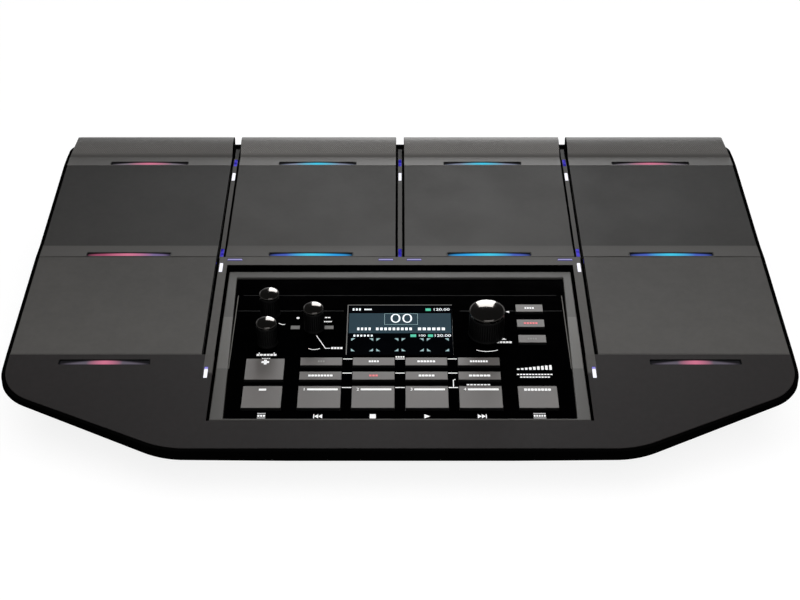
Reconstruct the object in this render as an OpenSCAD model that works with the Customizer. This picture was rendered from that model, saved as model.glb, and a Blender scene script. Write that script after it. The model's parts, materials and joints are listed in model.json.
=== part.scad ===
// Sampling drum pad: ten rubber pads on a wedge-shaped case, round a sloped control panel.
// Millimetres. +X is the player's right, +Y points away from the player, +Z is up.
// The origin is on the table, under the middle of the case.

/* [Pads] */
// Width of each inner pad
inner_pad_w = 100.6; // [94:0.1:108]
// Width of each outer pad
outer_pad_w = 104.9; // [96:0.1:116]
// Gap between two columns of pads
channel_w = 5; // [4.4:0.1:7]
// Length of each lower pad, in plan
lower_pad_l = 87.5; // [80:0.5:94]
// Length of each upper pad behind its front ledge, in plan
upper_pad_l = 85.3; // [80:0.1:98]
// Length of the ledge in front of each upper pad
ledge_l = 12.2; // [10:0.1:16]
// Length of the ledge in front of each bar pad
bar_ledge_l = 10.5; // [9:0.1:14]
// Length of each bar pad behind its ledge
bar_l = 21; // [18:0.5:26]
// Rise of a bar pad's crown above the line of the pads
bar_rise = 4.6; // [3:0.1:7]
// Slant of a bar pad's outer end, across the case
bar_end_draft = 4; // [2:0.5:10]
// Slope of the pads and of the control panel, in degrees
pad_slope = 7.6; // [6:0.1:9]
// Slope of the ledges, in degrees
ledge_slope = 3; // [2:0.1:5]
// Thickness of the rubber round the locating plug
pad_t = 2.2; // [1.6:0.1:3]
// Depth of the locating plug under each pad
plug_t = 2.5; // [1.5:0.1:3.5]
// Distance from a pad's edge to its plug
plug_in = 8; // [5:0.5:14]
// Distance from a bar pad's edge to its plug
bar_plug_in = 4; // [2:0.5:6]
// Diameter of the strike sensor under a pad
sensor_d = 27; // [20:1:35]
// Diameter of the strike sensor under a bar pad
bar_sensor_d = 10; // [8:0.5:12]
// Thickness of a strike sensor
sensor_t = 0.8; // [0.5:0.1:1.5]

/* [Case] */
// Width of the black rim that shows round the top case
rim_w = 2; // [1:0.1:4]
// Length of the apron, from the front edge to the lower pads
apron_l = 71.5; // [64:0.5:80]
// Slope of the apron, in degrees
apron_slope = 10; // [8:0.1:12]
// Height of the apron's front edge above the table
apron_z = 25.2; // [24:0.1:32]
// Height of the top case's edge above the rim
edge_h = 1.2; // [0.6:0.1:2]
// Length of the straight front edge, before its corners are rounded
front_edge_w = 244; // [220:1:270]
// Depth of the slanted front corners
corner_cut = 43; // [32:1:52]
// Radius where the front edge meets a slanted corner
front_r = 52; // [30:1:70]
// Radius where a slanted corner meets the side
side_r = 26; // [12:1:28]
// Radius of the rear corners
rear_r = 12; // [8:0.5:18]
// Wall of the bottom case
wall = 3; // [2:0.1:4]
// Upright height of the bottom case's rim, below the seam with the top case
rim_h = 1.9; // [1.5:0.1:4]
// Upright height of that rim along the front edge
rim_front_h = 4.6; // [2:0.1:6]
// Drop of the rim's lip below the apron and the pads that it borders
lip_drop = 0.3; // [0.1:0.1:0.8]
// How far the base is drawn in at the front
base_front_in = 18.5; // [14:0.5:24]
// How far the base is drawn in at the slanted corners
base_corner_in = 38; // [30:0.5:42]
// How far the base is drawn in at the sides
base_side_in = 20; // [14:0.5:24]
// How far the base is drawn in at the rear
base_rear_in = 2; // [0.5:0.5:6]
// Thickness of the base
base_t = 3; // [2.4:0.1:4]
// Floor of the top case under the plug pockets
floor_t = 2.5; // [2:0.1:4]
// Height of the rails in the channels above the floor of the channels
rail_h = 1.2; // [0.8:0.1:1.6]
// Width of the rails in the channels
rail_w = 2.6; // [2.4:0.1:3.4]
// Drop of the channels at their back ends
end_drop = 2.4; // [1:0.1:3]
// Length of a channel's dropped back end
end_drop_l = 8; // [5:0.5:12]
// Width of the raised border beside the control panel
border_w = 5; // [4:0.1:7]
// Width of the raised border behind the control panel
border_back_w = 7.5; // [6:0.1:10]
// Height of that border above the floor of the channels
border_h = 2.1; // [1.2:0.1:2.2]
// Gap between a lower pad and the border
border_gap = 1.8; // [1:0.1:3]
// Diameter of a rubber foot
foot_d = 22; // [14:1:28]
// Height of a rubber foot
foot_h = 5; // [3:0.5:8]

/* [Lights] */
// Length of the light slot in front of each pad
slot_l = 50; // [40:1:60]
// Width of a light slot
slot_w = 4.3; // [3.4:0.1:5]
// Distance from a crease to the light slot behind it
slot_gap = 0.8; // [0.5:0.1:1.5]
// Distance from a lower pad to the light slot in the apron
apron_slot_gap = 4; // [4:0.1:9]
// Depth of a light's lens below the surface round its slot
lens_depth = 1.5; // [0.8:0.1:2]
// Thickness of the light boards
light_board_t = 1.2; // [0.8:0.1:1.6]
// Length of a light rod in a rail
rod_l = 8.5; // [6:0.1:11]
// Width of a light rod
rod_w = 1.8; // [1.4:0.1:2]
// Depth of a light rod
rod_h = 2.4; // [1.6:0.1:3]

/* [Control panel] */
// Distance from the front edge of the case to the control panel
panel_setback = 22; // [18:0.5:30]
// Drop of the bezel below the apron at the panel's front edge
panel_drop = 0.2; // [0:0.1:1]
// Gap between the bezel and the sides of its well
well_gap = 1.5; // [0.5:0.1:2.5]
// Gap between the bezel and the back of its well
well_back_gap = 3.6; // [1:0.1:5]
// Gap between the bezel and the front of its well
well_front_gap = 0.6; // [0.3:0.1:1.5]
// Thickness of the bezel
bezel_t = 4; // [3:0.1:5]
// Width of the bezel's side bars at the front
bezel_front_w = 7.2; // [6:0.1:9]
// Width of the bezel's side bars at the back
bezel_back_w = 4.8; // [4:0.1:6.5]
// Width of the bezel's back bar
bezel_bar_l = 5.7; // [4:0.1:8]
// Width of the bezel's front lip
bezel_lip = 1; // [0.8:0.1:2]
// Drop of the panel's face below the bezel
panel_recess = 1.2; // [0.6:0.1:2]
// Thickness of the shelf that carries the bezel and the panel
shelf_t = 2.5; // [2:0.1:4]
// Width of the shelf at the sides and the back
shelf_w = 9; // [8.2:0.1:10]
// Width of the shelf at the front
shelf_front_w = 6; // [4:0.1:7]
// Width of the display window
display_w = 59; // [52:0.5:62]
// Length of the display window
display_l = 43.4; // [38:0.2:46]
// Distance from the control board's face to the bezel's face
board_depth = 10.5; // [10:0.1:12]
// Thickness of the circuit boards
board_t = 1.6; // [1:0.1:2]

/* [Keys] */
// Width of the keys in the four middle columns
key_w = 22.6; // [19:0.1:24]
// Distance between the four middle columns
key_pitch = 28.6; // [27:0.1:30]
// Width of the large keys in the side columns
side_key_w = 20.8; // [18:0.1:22]
// Width of the menu keys
menu_key_w = 15.2; // [12:0.1:17]
// Length of the large keys
large_key_l = 17; // [14:0.1:18]
// Length of the narrow keys
narrow_key_l = 6.3; // [5:0.1:7]
// Distance between two rows of keys
row_gap = 5.4; // [4:0.1:6]
// Distance from the panel's front to the first row of keys
key_front = 8.9; // [8:0.1:12]
// Distance from the back row of keys to the display
display_gap = 4.5; // [4.2:0.1:6]
// Distance from the edge of the panel to the middle of a side column
side_column_in = 26.5; // [24:0.1:28]
// Distance between two menu keys
menu_pitch = 13.5; // [10:0.1:15]
// Distance of the menu keys behind the display's middle
menu_shift = 3.4; // [0:0.1:5]
// Height of a key's face above the panel's face
key_proud = 1.8; // [1.4:0.1:2.6]
// Travel of a key
key_travel = 0.8; // [0.4:0.1:1]
// Gap round a key in its hole
key_fit = 0.35; // [0.3:0.05:0.5]

/* [Knobs] */
// Diameter of the three small knobs
knob_d = 11.5; // [10:0.1:14]
// Height of the small knobs
knob_h = 17; // [12:0.5:20]
// Diameter of the main dial
dial_d = 20; // [16:0.5:24]
// Height of the main dial
dial_h = 20; // [15:0.5:23]
// Distance from the middle of the panel to the effect knob and the main dial
knob_column = 48; // [46:0.5:52]
// Distance between the two level knobs
knob_pitch = 25.6; // [20:0.2:28]
// Distance of the main dial in front of the display's middle
dial_shift = 4.8; // [0:0.1:8]
// Diameter of the knobs' spindles
spindle_d = 6; // [5:0.1:6]
// Gap between a knob and the panel
knob_gap = 0.9; // [0.8:0.1:1.5]
// Travel of the main dial when it is pressed
dial_travel = 0.5; // [0.3:0.1:0.6]

/* [Rear] */
// Half width of the opening for the rear panel
rear_half_w = 112; // [108:1:125]
// Height of the rear panel's lower edge above the table
rear_panel_z = 15; // [12:0.5:17]
// Thickness of the rear panel
rear_panel_t = 3; // [2:0.1:4]
// Drop of the rear panel's face inside the rear wall
rear_recess = 2.2; // [2:0.1:4]
// Height of the sockets' axes above the table
socket_z = 26; // [24:0.5:28]
// Distance between two jack sockets
jack_pitch = 22; // [18:0.5:23]
// Bore of a jack socket
jack_bore_d = 6.4; // [6.3:0.05:6.6]
// Diameter of a jack socket's threaded nose
jack_nose_d = 9.2; // [8.6:0.1:9.6]
// Diameter of the power button
power_d = 13; // [10:0.5:15]
// Travel of the power button
power_travel = 2; // [1:0.1:3]
// Length of the main board
main_board_l = 66; // [50:1:72]
// Half width of the main board
main_board_half_w = 140; // [125:1:150]

/* [Fastening] */
// Spacing of the stand holes, the same both ways
stand_pitch = 100; // [75:1:120]
// Diameter of a stand hole, inside its thread
stand_hole_d = 4.2; // [3.3:0.1:5]
// Depth of a stand hole
stand_hole_l = 10; // [8:0.5:14]
// Diameter of a case screw
screw_d = 3; // [2.5:0.1:3.5]
// Length of a case screw's shank
screw_l = 14; // [11:0.5:18]

/* [Hidden] */

$fn = 48;
// Extra length of a cut past the face that it opens, or of a boss into the wall that it stands on
past = 1;
// Longer than any piece, for cuts and trims that run right through
far = 600;
// Running clearance of a spindle in its bore, on the radius
run_fit = 0.05;
// Clearance of a piece that drops into a pocket
drop_fit = 0.15;
// Clearance between two loose pieces side by side
side_fit = 0.3;
// Clearance past the end of a spindle or a screw
end_fit = 0.4;

// Columns, from the middle of the case outwards
inner_x0 = channel_w / 2;
inner_x1 = inner_x0 + inner_pad_w;
outer_x0 = inner_x1 + channel_w;
outer_x1 = outer_x0 + outer_pad_w;
half_w = outer_x1 + rim_w;
rail_x = (inner_x1 + outer_x0) / 2;
// Left and right edges of the four columns, from left to right
columns = [[-outer_x1, -outer_x0], [-inner_x1, -inner_x0], [inner_x0, inner_x1], [outer_x0, outer_x1]];

// Stations from front to back: the creases of the deck
case_d = apron_l + lower_pad_l + ledge_l + upper_pad_l + bar_ledge_l + bar_l + rim_w;
y_front = -case_d / 2;
y_rear = case_d / 2;
y_lower = y_front + apron_l;
y_ledge = y_lower + lower_pad_l;
y_upper = y_ledge + ledge_l;
y_bar_ledge = y_upper + upper_pad_l;
y_bar = y_bar_ledge + bar_ledge_l;
y_back = y_bar + bar_l;
z_lower = apron_z + apron_l * tan(apron_slope);
z_ledge = z_lower + lower_pad_l * tan(pad_slope);
z_upper = z_ledge + ledge_l * tan(ledge_slope);
z_bar_ledge = z_upper + upper_pad_l * tan(pad_slope);
z_bar = z_bar_ledge + bar_ledge_l * tan(ledge_slope);
z_back = z_bar + bar_l * tan(pad_slope);
// Side view of the pads' top faces, from the apron to the back
pad_line = [[y_lower, z_lower], [y_ledge, z_ledge], [y_upper, z_upper],
            [y_bar_ledge, z_bar_ledge], [y_bar, z_bar], [y_back, z_back]];

// Rim of the bottom case, where the two shells meet
y_corner = y_front + corner_cut;
rim_line = [[y_front, apron_z - edge_h], [y_corner, apron_z - edge_h + corner_cut * tan(apron_slope)],
            [y_rear, z_back - pad_t - edge_h]];
// Top of the rim's lip: it follows the apron and the pads, and runs out along the bar pads
lip_line = concat(
    [[y_front, apron_z - lip_drop]],
    [for (i = [0:len(pad_line) - 2]) [pad_line[i][0], pad_line[i][1] - lip_drop]],
    [[y_back, lookup(y_back, rim_line)]]
);
corner_a = atan2(corner_cut, half_w - front_edge_w / 2);
plate_t = plug_t + floor_t;
sheet_t = 0.01;
base_z = foot_h + base_t;

// Control panel: v runs up the slope from the bezel's front edge, w is square to the panel
panel_y = y_front + panel_setback;
panel_z = apron_z + panel_setback * tan(apron_slope) - panel_drop;
border_x = outer_x0 - border_gap;
well_half = border_x - border_w;
bezel_half = well_half - well_gap;
well_l = (y_ledge - border_back_w - panel_y) / cos(pad_slope);
bezel_l = well_l - well_back_gap;
face_w = -panel_recess;
shelf_z = -bezel_t;
board_w = -board_depth;
// Panel's trapezoid, inside the bezel
panel_v0 = bezel_lip + drop_fit;
panel_v1 = bezel_l - bezel_bar_l - drop_fit;

// Rows and columns of the controls
track_v = key_front + large_key_l / 2;
loop_v = track_v + large_key_l / 2 + row_gap + narrow_key_l / 2;
mode_v = loop_v + narrow_key_l + row_gap;
plus_v = track_v + large_key_l + row_gap;
display_v0 = mode_v + narrow_key_l / 2 + display_gap;
display_v = display_v0 + display_l / 2;
side_x = bezel_half - side_column_in;
level_v = display_v - knob_pitch / 2;
dial_v = display_v - dial_shift;
menu_v = display_v + menu_shift;
// Name, place across, place up the slope, width and length of every key
key_table = concat(
    [for (i = [0:3]) [str("track_key_", i + 1), (i - 1.5) * key_pitch, track_v, key_w, large_key_l]],
    [for (i = [0:3]) [str("loop_key_", i + 1), (i - 1.5) * key_pitch, loop_v, key_w, narrow_key_l]],
    [for (i = [0:3]) [str("mode_key_", i + 1), (i - 1.5) * key_pitch, mode_v, key_w, narrow_key_l]],
    [["plus_key", -side_x, plus_v, side_key_w, large_key_l],
     ["minus_key", -side_x, track_v, side_key_w, large_key_l],
     ["shift_key", side_x, track_v, side_key_w, large_key_l]],
    [for (i = [0:2])
        [str("menu_key_", i + 1), side_x, menu_v + (1 - i) * menu_pitch, menu_key_w, narrow_key_l]]
);
// Name and place of the small knobs
knob_table = [["upper_level_knob", -side_x, level_v + knob_pitch],
              ["lower_level_knob", -side_x, level_v],
              ["effect_knob", -knob_column, display_v]];

// Skirt that holds a key under the panel, the stub below it and the switch that the stub meets
skirt_out = 0.8;
skirt_t = 1;
skirt_w1 = shelf_z - end_fit;
skirt_w0 = skirt_w1 - skirt_t;
stub_h = 0.3;
switch_s = 6;
switch_cap_h = 0.6;
switch_cap_r = 1.6;
switch_w1 = skirt_w0 - stub_h - key_travel - side_fit;

// Knobs, pots and the dial's encoder
knob_taper = 0.94;
knob_foot = 0.1;
knob_dome = 2;
dial_dome = 3;
dome_step = 15;
pointer_w = 0.8;
pointer_depth = 0.5;
pointer_foot = 0.15;
socket_share = 0.6;
pot_drop = 1;
pot_w1 = shelf_z - pot_drop;
pot_s = [10, 11];
pot_base = 2.3;
encoder_s = [12, 13];
encoder_base = 0.4;
bush_t = 0.6;
bush_r = spindle_d / 2 + bush_t;
bush_w1 = face_w - end_fit;
bush_hole_r = bush_r + end_fit;
spindle_w0 = board_w + pot_base;
chamber_w0 = board_w + encoder_base;
plunger_h = 1;
plunger_w0 = chamber_w0 + dial_travel + side_fit;

// Display
lens_drop = 0.1;
lens_t = 1.4;
lens_w1 = face_w - lens_drop;
lens_w0 = lens_w1 - lens_t;
frame_out = [5, 4.4];
frame_t = 4.5;
leg_r = 1.5;
leg_in = 3;

// Control board and its screw posts under the panel
post_r = 2.4;
post_front_in = 3;
post_back_in = 20;
post_x = bezel_half - shelf_w - post_r - end_fit;
post_vs = [shelf_front_w + post_r + post_front_in, bezel_l - post_back_in];
board_end = 6;
board_side = 4.4;
board_screw_r = 1.2;
board_screw_l = 4;
board_screw_head_r = 2.2;
board_screw_head_h = 1.4;

// Rear: places across, along and up
rear_face_y = y_rear - rear_recess;
rear_inner_y = rear_face_y - rear_panel_t;
notch_l = 20;
jack_count = 6;
jack_in = 14;
jack_x0 = -rear_half_w + jack_in;
jack_xs = [for (i = [0:jack_count - 1]) jack_x0 + i * jack_pitch];
jack_body = [14, 28, 15];
jack_bore_l = 24;
nut_t = 1.8;
nut_r = 7;
nose_out = 0.2;
nose_y = rear_face_y + nut_t + nose_out;
usb_step = 24;
usb_x = jack_xs[jack_count - 1] + usb_step;
plate_seam = 0.2;
plate_seam_x = usb_x - usb_step / 2;
usb_s = [12, 16, 11];
usb_hole = [8.4, 7.8];
usb_back = 4;
dc_step = 22;
dc_x = usb_x + dc_step;
dc_s = [10, 14, 11];
dc_bore_d = 5.5;
dc_wall = 1.3;
dc_back = 3;
dc_pin_d = 2;
main_board_z = socket_z - jack_body[2] / 2 - board_t;
main_board_top = main_board_z + board_t;
main_board_y1 = rear_inner_y - side_fit;
main_board_y0 = main_board_y1 - main_board_l;
standoff_in = 8;
standoff_rear_in = 40;
standoffs = [for (x = [-1, 1], y = [main_board_y0 + standoff_in, main_board_y1 - standoff_rear_in])
             [x * (main_board_half_w - standoff_in), y]];
power_step = 24;
power_x = dc_x + power_step;
flange_out = 1;
flange_t = 2;
power_z = main_board_top + power_d / 2 + flange_out + 2 * side_fit;

// Places of the feet, case screws and stand holes
base_half = half_w - base_side_in;
foot_taper = 2;
rear_foot_in = [26, 40];
front_foot_in = [51, 70];
feet = concat(
    [for (x = [-1, 1]) [x * (base_half - rear_foot_in[0]), y_rear - rear_foot_in[1]]],
    [for (x = [-1, 1]) [x * (base_half - front_foot_in[0]), y_front + front_foot_in[1]]]
);
outer_post_in = 16;
rear_post_in = 22;
lower_post_in = 22;
upper_post_in = 18;
front_post_in = 47;
front_post_out = 9;
case_posts = concat(
    [for (x = [-1, 1]) [x * (base_half - outer_post_in), y_rear - rear_post_in]],
    [for (x = [-1, 1]) [x * (base_half - outer_post_in), y_lower + lower_post_in]],
    [for (x = [-1, 1]) [x * main_board_half_w / 2, y_upper + upper_post_in]],
    [for (x = [-1, 1]) [x * (well_half + front_post_out), y_front + front_post_in]]
);
case_post_r = 4;
boss_h = 2;
screw_head_out = 1.3;
screw_head_r = screw_d / 2 + screw_head_out;
screw_head_h = 1.8;
head_recess = 2;
stand_boss_wall = 3;
stand_boss_r = stand_hole_d / 2 + stand_boss_wall;
stand_clear = 2;
stand_y = main_board_y0 - stand_clear - stand_boss_r - stand_pitch / 2;
stand_holes = [for (x = [-1, 1], y = [-1, 1]) [x * stand_pitch / 2, stand_y + y * stand_pitch / 2]];

// Middle of every strike sensor, with its radius
bar_mid_y = (y_bar + bar_plug_in + y_back - 2 * bar_plug_in) / 2;
sensor_table = concat(
    [for (c = columns) [(c[0] + c[1]) / 2, (y_upper + y_bar_ledge) / 2, sensor_d / 2]],
    [for (c = columns) [(c[0] + c[1]) / 2, bar_mid_y, bar_sensor_d / 2]],
    [for (c = [columns[0], columns[3]]) [(c[0] + c[1]) / 2, (y_lower + y_ledge) / 2, sensor_d / 2]]
);
sensor_w = -(pad_t + plug_t) * cos(pad_slope);

// Light slots: place across and along, surface height, slope and depth to the underside
ledge_depth = pad_t + plate_t;
slot_r = slot_w / 4;
light_board_out = [6, 0.4];
light_table = concat(
    [for (c = columns) slot_place(c, y_ledge + slot_gap + slot_w / 2, ledge_slope, ledge_depth)],
    [for (c = columns) slot_place(c, y_bar_ledge + slot_gap + slot_w / 2, ledge_slope, ledge_depth)],
    [for (c = [columns[0], columns[3]])
        slot_place(c, y_lower - apron_slot_gap - slot_w / 2, apron_slope, plate_t)]
);
// Light rods: place across and along, slope, and whether they lie across the case
border_rod_in = 1.5;
border_rod_x = border_x - border_rod_in;
cross_rod_in = 2.6;
cross_rod_y = y_ledge - cross_rod_in;
rod_end = 1.6;
rod_in = rod_l / 2 + rod_end;
upper_rod_in = 11;
lower_rod_in = 10;
apron_rod_in = 14;
white_rods = concat(
    [for (x = [-rail_x, 0, rail_x]) [x, y_bar_ledge - upper_rod_in, pad_slope, false]],
    [for (x = [-border_rod_x, border_rod_x]) [x, y_ledge - lower_rod_in, pad_slope, false]],
    [for (x = [-border_rod_x, border_rod_x]) [x, y_lower - apron_rod_in, apron_slope, false]],
    [for (c = [columns[1], columns[2]], x = [c[0] + rod_in, c[1] - rod_in])
        [x, cross_rod_y, pad_slope, true]]
);
blue_rods = concat(
    [for (x = [-rail_x, 0, rail_x]) [x, y_bar_ledge + bar_ledge_l / 2, ledge_slope, false]],
    [for (x = [-rail_x, 0, rail_x]) [x, y_ledge + ledge_l / 2, ledge_slope, false]]
);

function slot_place(c, y, slope, depth) = [(c[0] + c[1]) / 2, y, surface_z(y), slope, depth];
function apron_at(y) = apron_z + (y - y_front) * tan(apron_slope);
function surface_z(y) = y < y_lower ? apron_at(y) : lookup(y, pad_line);
function rail_z(y) = y < y_lower ? apron_at(y)
    : lookup(y, pad_line) - pad_t + (y < y_ledge ? border_h : rail_h);
// A stretch of the pads' side view between two stations
function stretch(y0, y1) = concat([[y0, lookup(y0, pad_line)]],
    [for (p = pad_line) if (p[0] > y0 && p[0] < y1) p], [[y1, lookup(y1, pad_line)]]);
// A closed band from a line: its top lies up above the line and its bottom lies down below it
function band(line, up, down) = concat([for (p = line) [p[0], p[1] + up]],
    [for (i = [len(line) - 1:-1:0]) [line[i][0], line[i][1] - down]]);
// The rim's side view, deeper at the front edge
function rim_band(up) = concat([for (p = rim_line) [p[0], p[1] + up]],
    [for (i = [len(rim_line) - 1:-1:0]) [rim_line[i][0], rim_line[i][1] - (i == 0 ? rim_front_h : rim_h)]]);
function unit(v) = v / norm(v);
// Points of a rounded corner at p, between the corners before and after it
function corner(before, p, after, r, steps = 10) =
    let (a = unit(before - p), b = unit(after - p), half = acos(a * b) / 2,
         mid = p + unit(a + b) * r / sin(half), from = p + a * r / tan(half) - mid,
         turn = 180 - 2 * half, side = sign(a[0] * b[1] - a[1] * b[0]))
    [for (i = [0:steps]) let (t = -side * turn * i / steps)
        mid + [from[0] * cos(t) - from[1] * sin(t), from[0] * sin(t) + from[1] * cos(t)]];
// Outline of the case in plan, drawn in at the front, the slanted corners, the sides and the rear
function outline(front_in, corner_in, side_in, rear_in) =
    let (hw = half_w - side_in, fy = y_front + front_in,
         cy = y_corner + corner_in / cos(corner_a) - side_in * tan(corner_a),
         fx = half_w - (y_corner + corner_in / cos(corner_a) - fy) / tan(corner_a), ry = y_rear - rear_in,
         pts = [[-fx, fy], [fx, fy], [hw, cy], [hw, ry], [-hw, ry], [-hw, cy]],
         rs = [front_r, front_r, side_r, rear_r, rear_r, side_r])
    [for (i = [0:5]) each corner(pts[(i + 5) % 6], pts[i], pts[(i + 1) % 6], rs[i])];

// A side view in Y and Z, drawn out across X
module side_prism(x0, x1, points) {
    translate([x0, 0, 0]) rotate([90, 0, 90]) linear_extrude(x1 - x0) polygon(points);
}
// The case's plan, drawn in evenly and run right through in height
module plan_prism(inset) { linear_extrude(far) polygon(outline(inset, inset, inset, inset)); }
// Moves a piece onto a sloped surface: z is square to the surface
module on_slope(x, y, z, slope) { translate([x, y, z]) rotate([slope, 0, 0]) children(); }
// Moves a piece onto the control panel
module on_panel(x = 0, v = 0, w = 0) {
    translate([0, panel_y, panel_z]) rotate([pad_slope, 0, 0]) translate([x, v, w]) children();
}
// A block centred across and along, from w0 to w1
module block(size, w0, w1) { translate([-size[0] / 2, -size[1] / 2, w0]) cube([size[0], size[1], w1 - w0]); }
// A round bar from w0 to w1
module bar(r, w0, w1) { translate([0, 0, w0]) cylinder(r = r, h = w1 - w0); }
// A round bar along Y, from y0 to y1
module bar_y(x, z, r, y0, y1) { translate([x, y0, z]) rotate([-90, 0, 0]) cylinder(r = r, h = y1 - y0); }
// A block with round corners in plan, from w0 to w1
module round_block(size, r, w0, w1) {
    union() {
        block([size[0] - 2 * r, size[1]], w0, w1);
        block([size[0], size[1] - 2 * r], w0, w1);
        for (x = [-1, 1], y = [-1, 1])
            translate([x * (size[0] / 2 - r), y * (size[1] / 2 - r), 0]) bar(r, w0, w1);
    }
}

// Light slots and rods
module light_cuts() {
    for (p = light_table) on_slope(p[0], p[1], p[2], p[3])
        round_block([slot_l, slot_w], slot_r, -2 * ledge_depth, 2 * past);
}
module rod(p, grow, top, deep) {
    size = [rod_w + 2 * grow, rod_l + 2 * grow];
    on_slope(p[0], p[1], rail_z(p[1]), p[2]) rotate([0, 0, p[3] ? 90 : 0]) block(size, -deep, top);
}
// The plug under a pad, or with grow the pocket that takes it
module plug(x0, x1, y0, y1, grow, up) {
    side_prism(x0 - grow, x1 + grow, band(stretch(y0 - grow, y1 + grow), up - pad_t, pad_t + plug_t));
}
module pad_plugs(grow, up) {
    for (c = columns) {
        upper_plug(c, grow, up);
        bar_plug(c, grow, up);
    }
    for (c = [columns[0], columns[3]]) lower_plug(c, grow, up);
}

module deck_form() {
    apron = [[y_front, apron_z], [y_lower, z_lower]];
    deck = concat(apron, [for (p = pad_line) [p[0], p[1] - pad_t]]);
    under = concat(
        [for (i = [len(pad_line) - 1:-1:0]) [pad_line[i][0], pad_line[i][1] - ledge_depth]],
        [[y_lower, z_lower - plate_t], [y_front, apron_z - plate_t]]
    );
    intersection() {
        plan_prism(rim_w + wall + past);
        side_prism(-half_w, half_w, concat(deck, under));
    }
    intersection() {
        plan_prism(rim_w);
        side_prism(-half_w, half_w, concat(deck, [rim_line[2], rim_line[1], rim_line[0]]));
    }
    rail = band(stretch(y_ledge, y_bar), rail_h - pad_t, pad_t + past);
    for (x = [-rail_x, 0, rail_x]) side_prism(x - rail_w / 2, x + rail_w / 2, rail);
    side_prism(-border_x, border_x, band(stretch(y_lower - past, y_ledge), border_h - pad_t, pad_t + past));
}
module well_form() {
    side = well_half + wall;
    on_panel(0, 0, 0) translate([-side, -well_front_gap - wall, shelf_z - shelf_t])
        cube([2 * side, well_l + well_front_gap + 2 * wall, shelf_t + bezel_t - past]);
}
module well_cuts() {
    on_panel(0, 0, 0) translate([-well_half, -well_front_gap, shelf_z])
        cube([2 * well_half, well_l + well_front_gap, far]);
    on_panel(0, 0, 0) translate([-bezel_half + shelf_w, shelf_front_w, shelf_z - 2 * shelf_t])
        cube([2 * (bezel_half - shelf_w), bezel_l - shelf_w - shelf_front_w, far]);
}
// The channels drop towards the back, between the bar pads
module channel_ends() {
    start = y_back - end_drop_l;
    low = band([[start, lookup(start, pad_line)], [y_rear, z_back]], past, pad_t + end_drop);
    for (x = [-rail_x, 0, rail_x]) side_prism(x - channel_w / 2, x + channel_w / 2, low);
}
module top_case() {
    color([0.2, 0.2, 0.2]) difference() {
        union() {
            deck_form();
            well_form();
            for (p = case_posts) translate([p[0], p[1], base_z + boss_h])
                cylinder(r = case_post_r, h = surface_z(p[1]) - pad_t - plug_t - past - base_z - boss_h);
        }
        well_cuts();
        pad_plugs(drop_fit, past);
        light_cuts();
        channel_ends();
        for (p = white_rods) rod(p, drop_fit, past, rod_h);
        for (p = blue_rods) rod(p, drop_fit, past, rod_h);
        for (p = sensor_table) on_slope(p[0], p[1], lookup(p[1], pad_line), pad_slope)
            bar(p[2] + side_fit, sensor_w - 2 * floor_t, sensor_w + past);
        for (p = case_posts) translate([p[0], p[1], foot_h])
            cylinder(r = screw_d / 2 + run_fit, h = head_recess + screw_l + past);
    }
}

// The bottom case's outer or inner form: its rim follows the top case, its base is flat
module tub_form(inset, base, up) {
    hull() {
        intersection() {
            plan_prism(inset);
            side_prism(-half_w, half_w, rim_band(up));
        }
        translate([0, 0, base]) linear_extrude(sheet_t)
            polygon(outline(base_front_in + inset, base_corner_in + inset, base_side_in + inset,
                            base_rear_in + inset));
    }
}
// The lip that rises from the rim round the apron and the outer pads
module rim_lip() {
    foot = [for (i = [len(rim_line) - 1:-1:0]) [rim_line[i][0], rim_line[i][1] - past]];
    intersection() {
        difference() {
            plan_prism(0);
            plan_prism(rim_w - drop_fit);
        }
        side_prism(-half_w, half_w, concat(lip_line, foot));
    }
}
module bottom_case() {
    color([0.03, 0.03, 0.03]) difference() {
        union() {
            difference() {
                tub_form(0, foot_h, 0);
                tub_form(wall, base_z, past);
                translate([-rear_half_w, y_rear - notch_l, rear_panel_z])
                    cube([2 * rear_half_w, 2 * notch_l, far]);
            }
            rim_lip();
            for (p = case_posts) translate([p[0], p[1], base_z - past])
                cylinder(r = case_post_r, h = boss_h + past);
            for (p = standoffs) translate([p[0], p[1], base_z - past])
                cylinder(r = case_post_r, h = main_board_z - base_z + past);
            for (p = stand_holes) translate([p[0], p[1], base_z - past])
                cylinder(r = stand_boss_r, h = stand_hole_l + 2 * past);
        }
        for (p = case_posts) translate([p[0], p[1], foot_h - past]) {
            cylinder(r = screw_d / 2 + 2 * drop_fit, h = far);
            cylinder(r = screw_head_r + side_fit, h = head_recess + past);
        }
        for (p = standoffs) translate([p[0], p[1], main_board_z - board_screw_l])
            cylinder(r = board_screw_r + run_fit, h = board_screw_l + past);
        for (p = stand_holes) translate([p[0], p[1], foot_h - past])
            cylinder(r = stand_hole_d / 2, h = stand_hole_l + past);
    }
}
module rubber_feet() {
    color([0.08, 0.08, 0.08]) for (p = feet) translate([p[0], p[1], 0]) rotate_extrude()
        polygon([[0, 0], [foot_d / 2 - foot_taper, 0], [foot_d / 2, foot_h], [0, foot_h]]);
}
module case_screws() {
    color([0.3, 0.3, 0.3]) for (p = case_posts) translate([p[0], p[1], foot_h + head_recess]) {
        translate([0, 0, -screw_head_h]) cylinder(r = screw_head_r, h = screw_head_h);
        cylinder(r = screw_d / 2, h = screw_l);
    }
}

// Pads
crown_share = 0.6;
function bar_crown(steps = 8) =
    let (front = bar_l * crown_share, rear = bar_l - front, mid = y_bar + front)
    concat([for (i = [0:steps]) let (t = 1 - i / steps) crown_point(mid - front * t, 1 - t * t)],
           [for (i = [1:steps]) let (a = 90 * i / steps) crown_point(mid + rear * sin(a), cos(a))]);
function crown_point(y, share) = [y, lookup(y, pad_line) + bar_rise * share];
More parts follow.
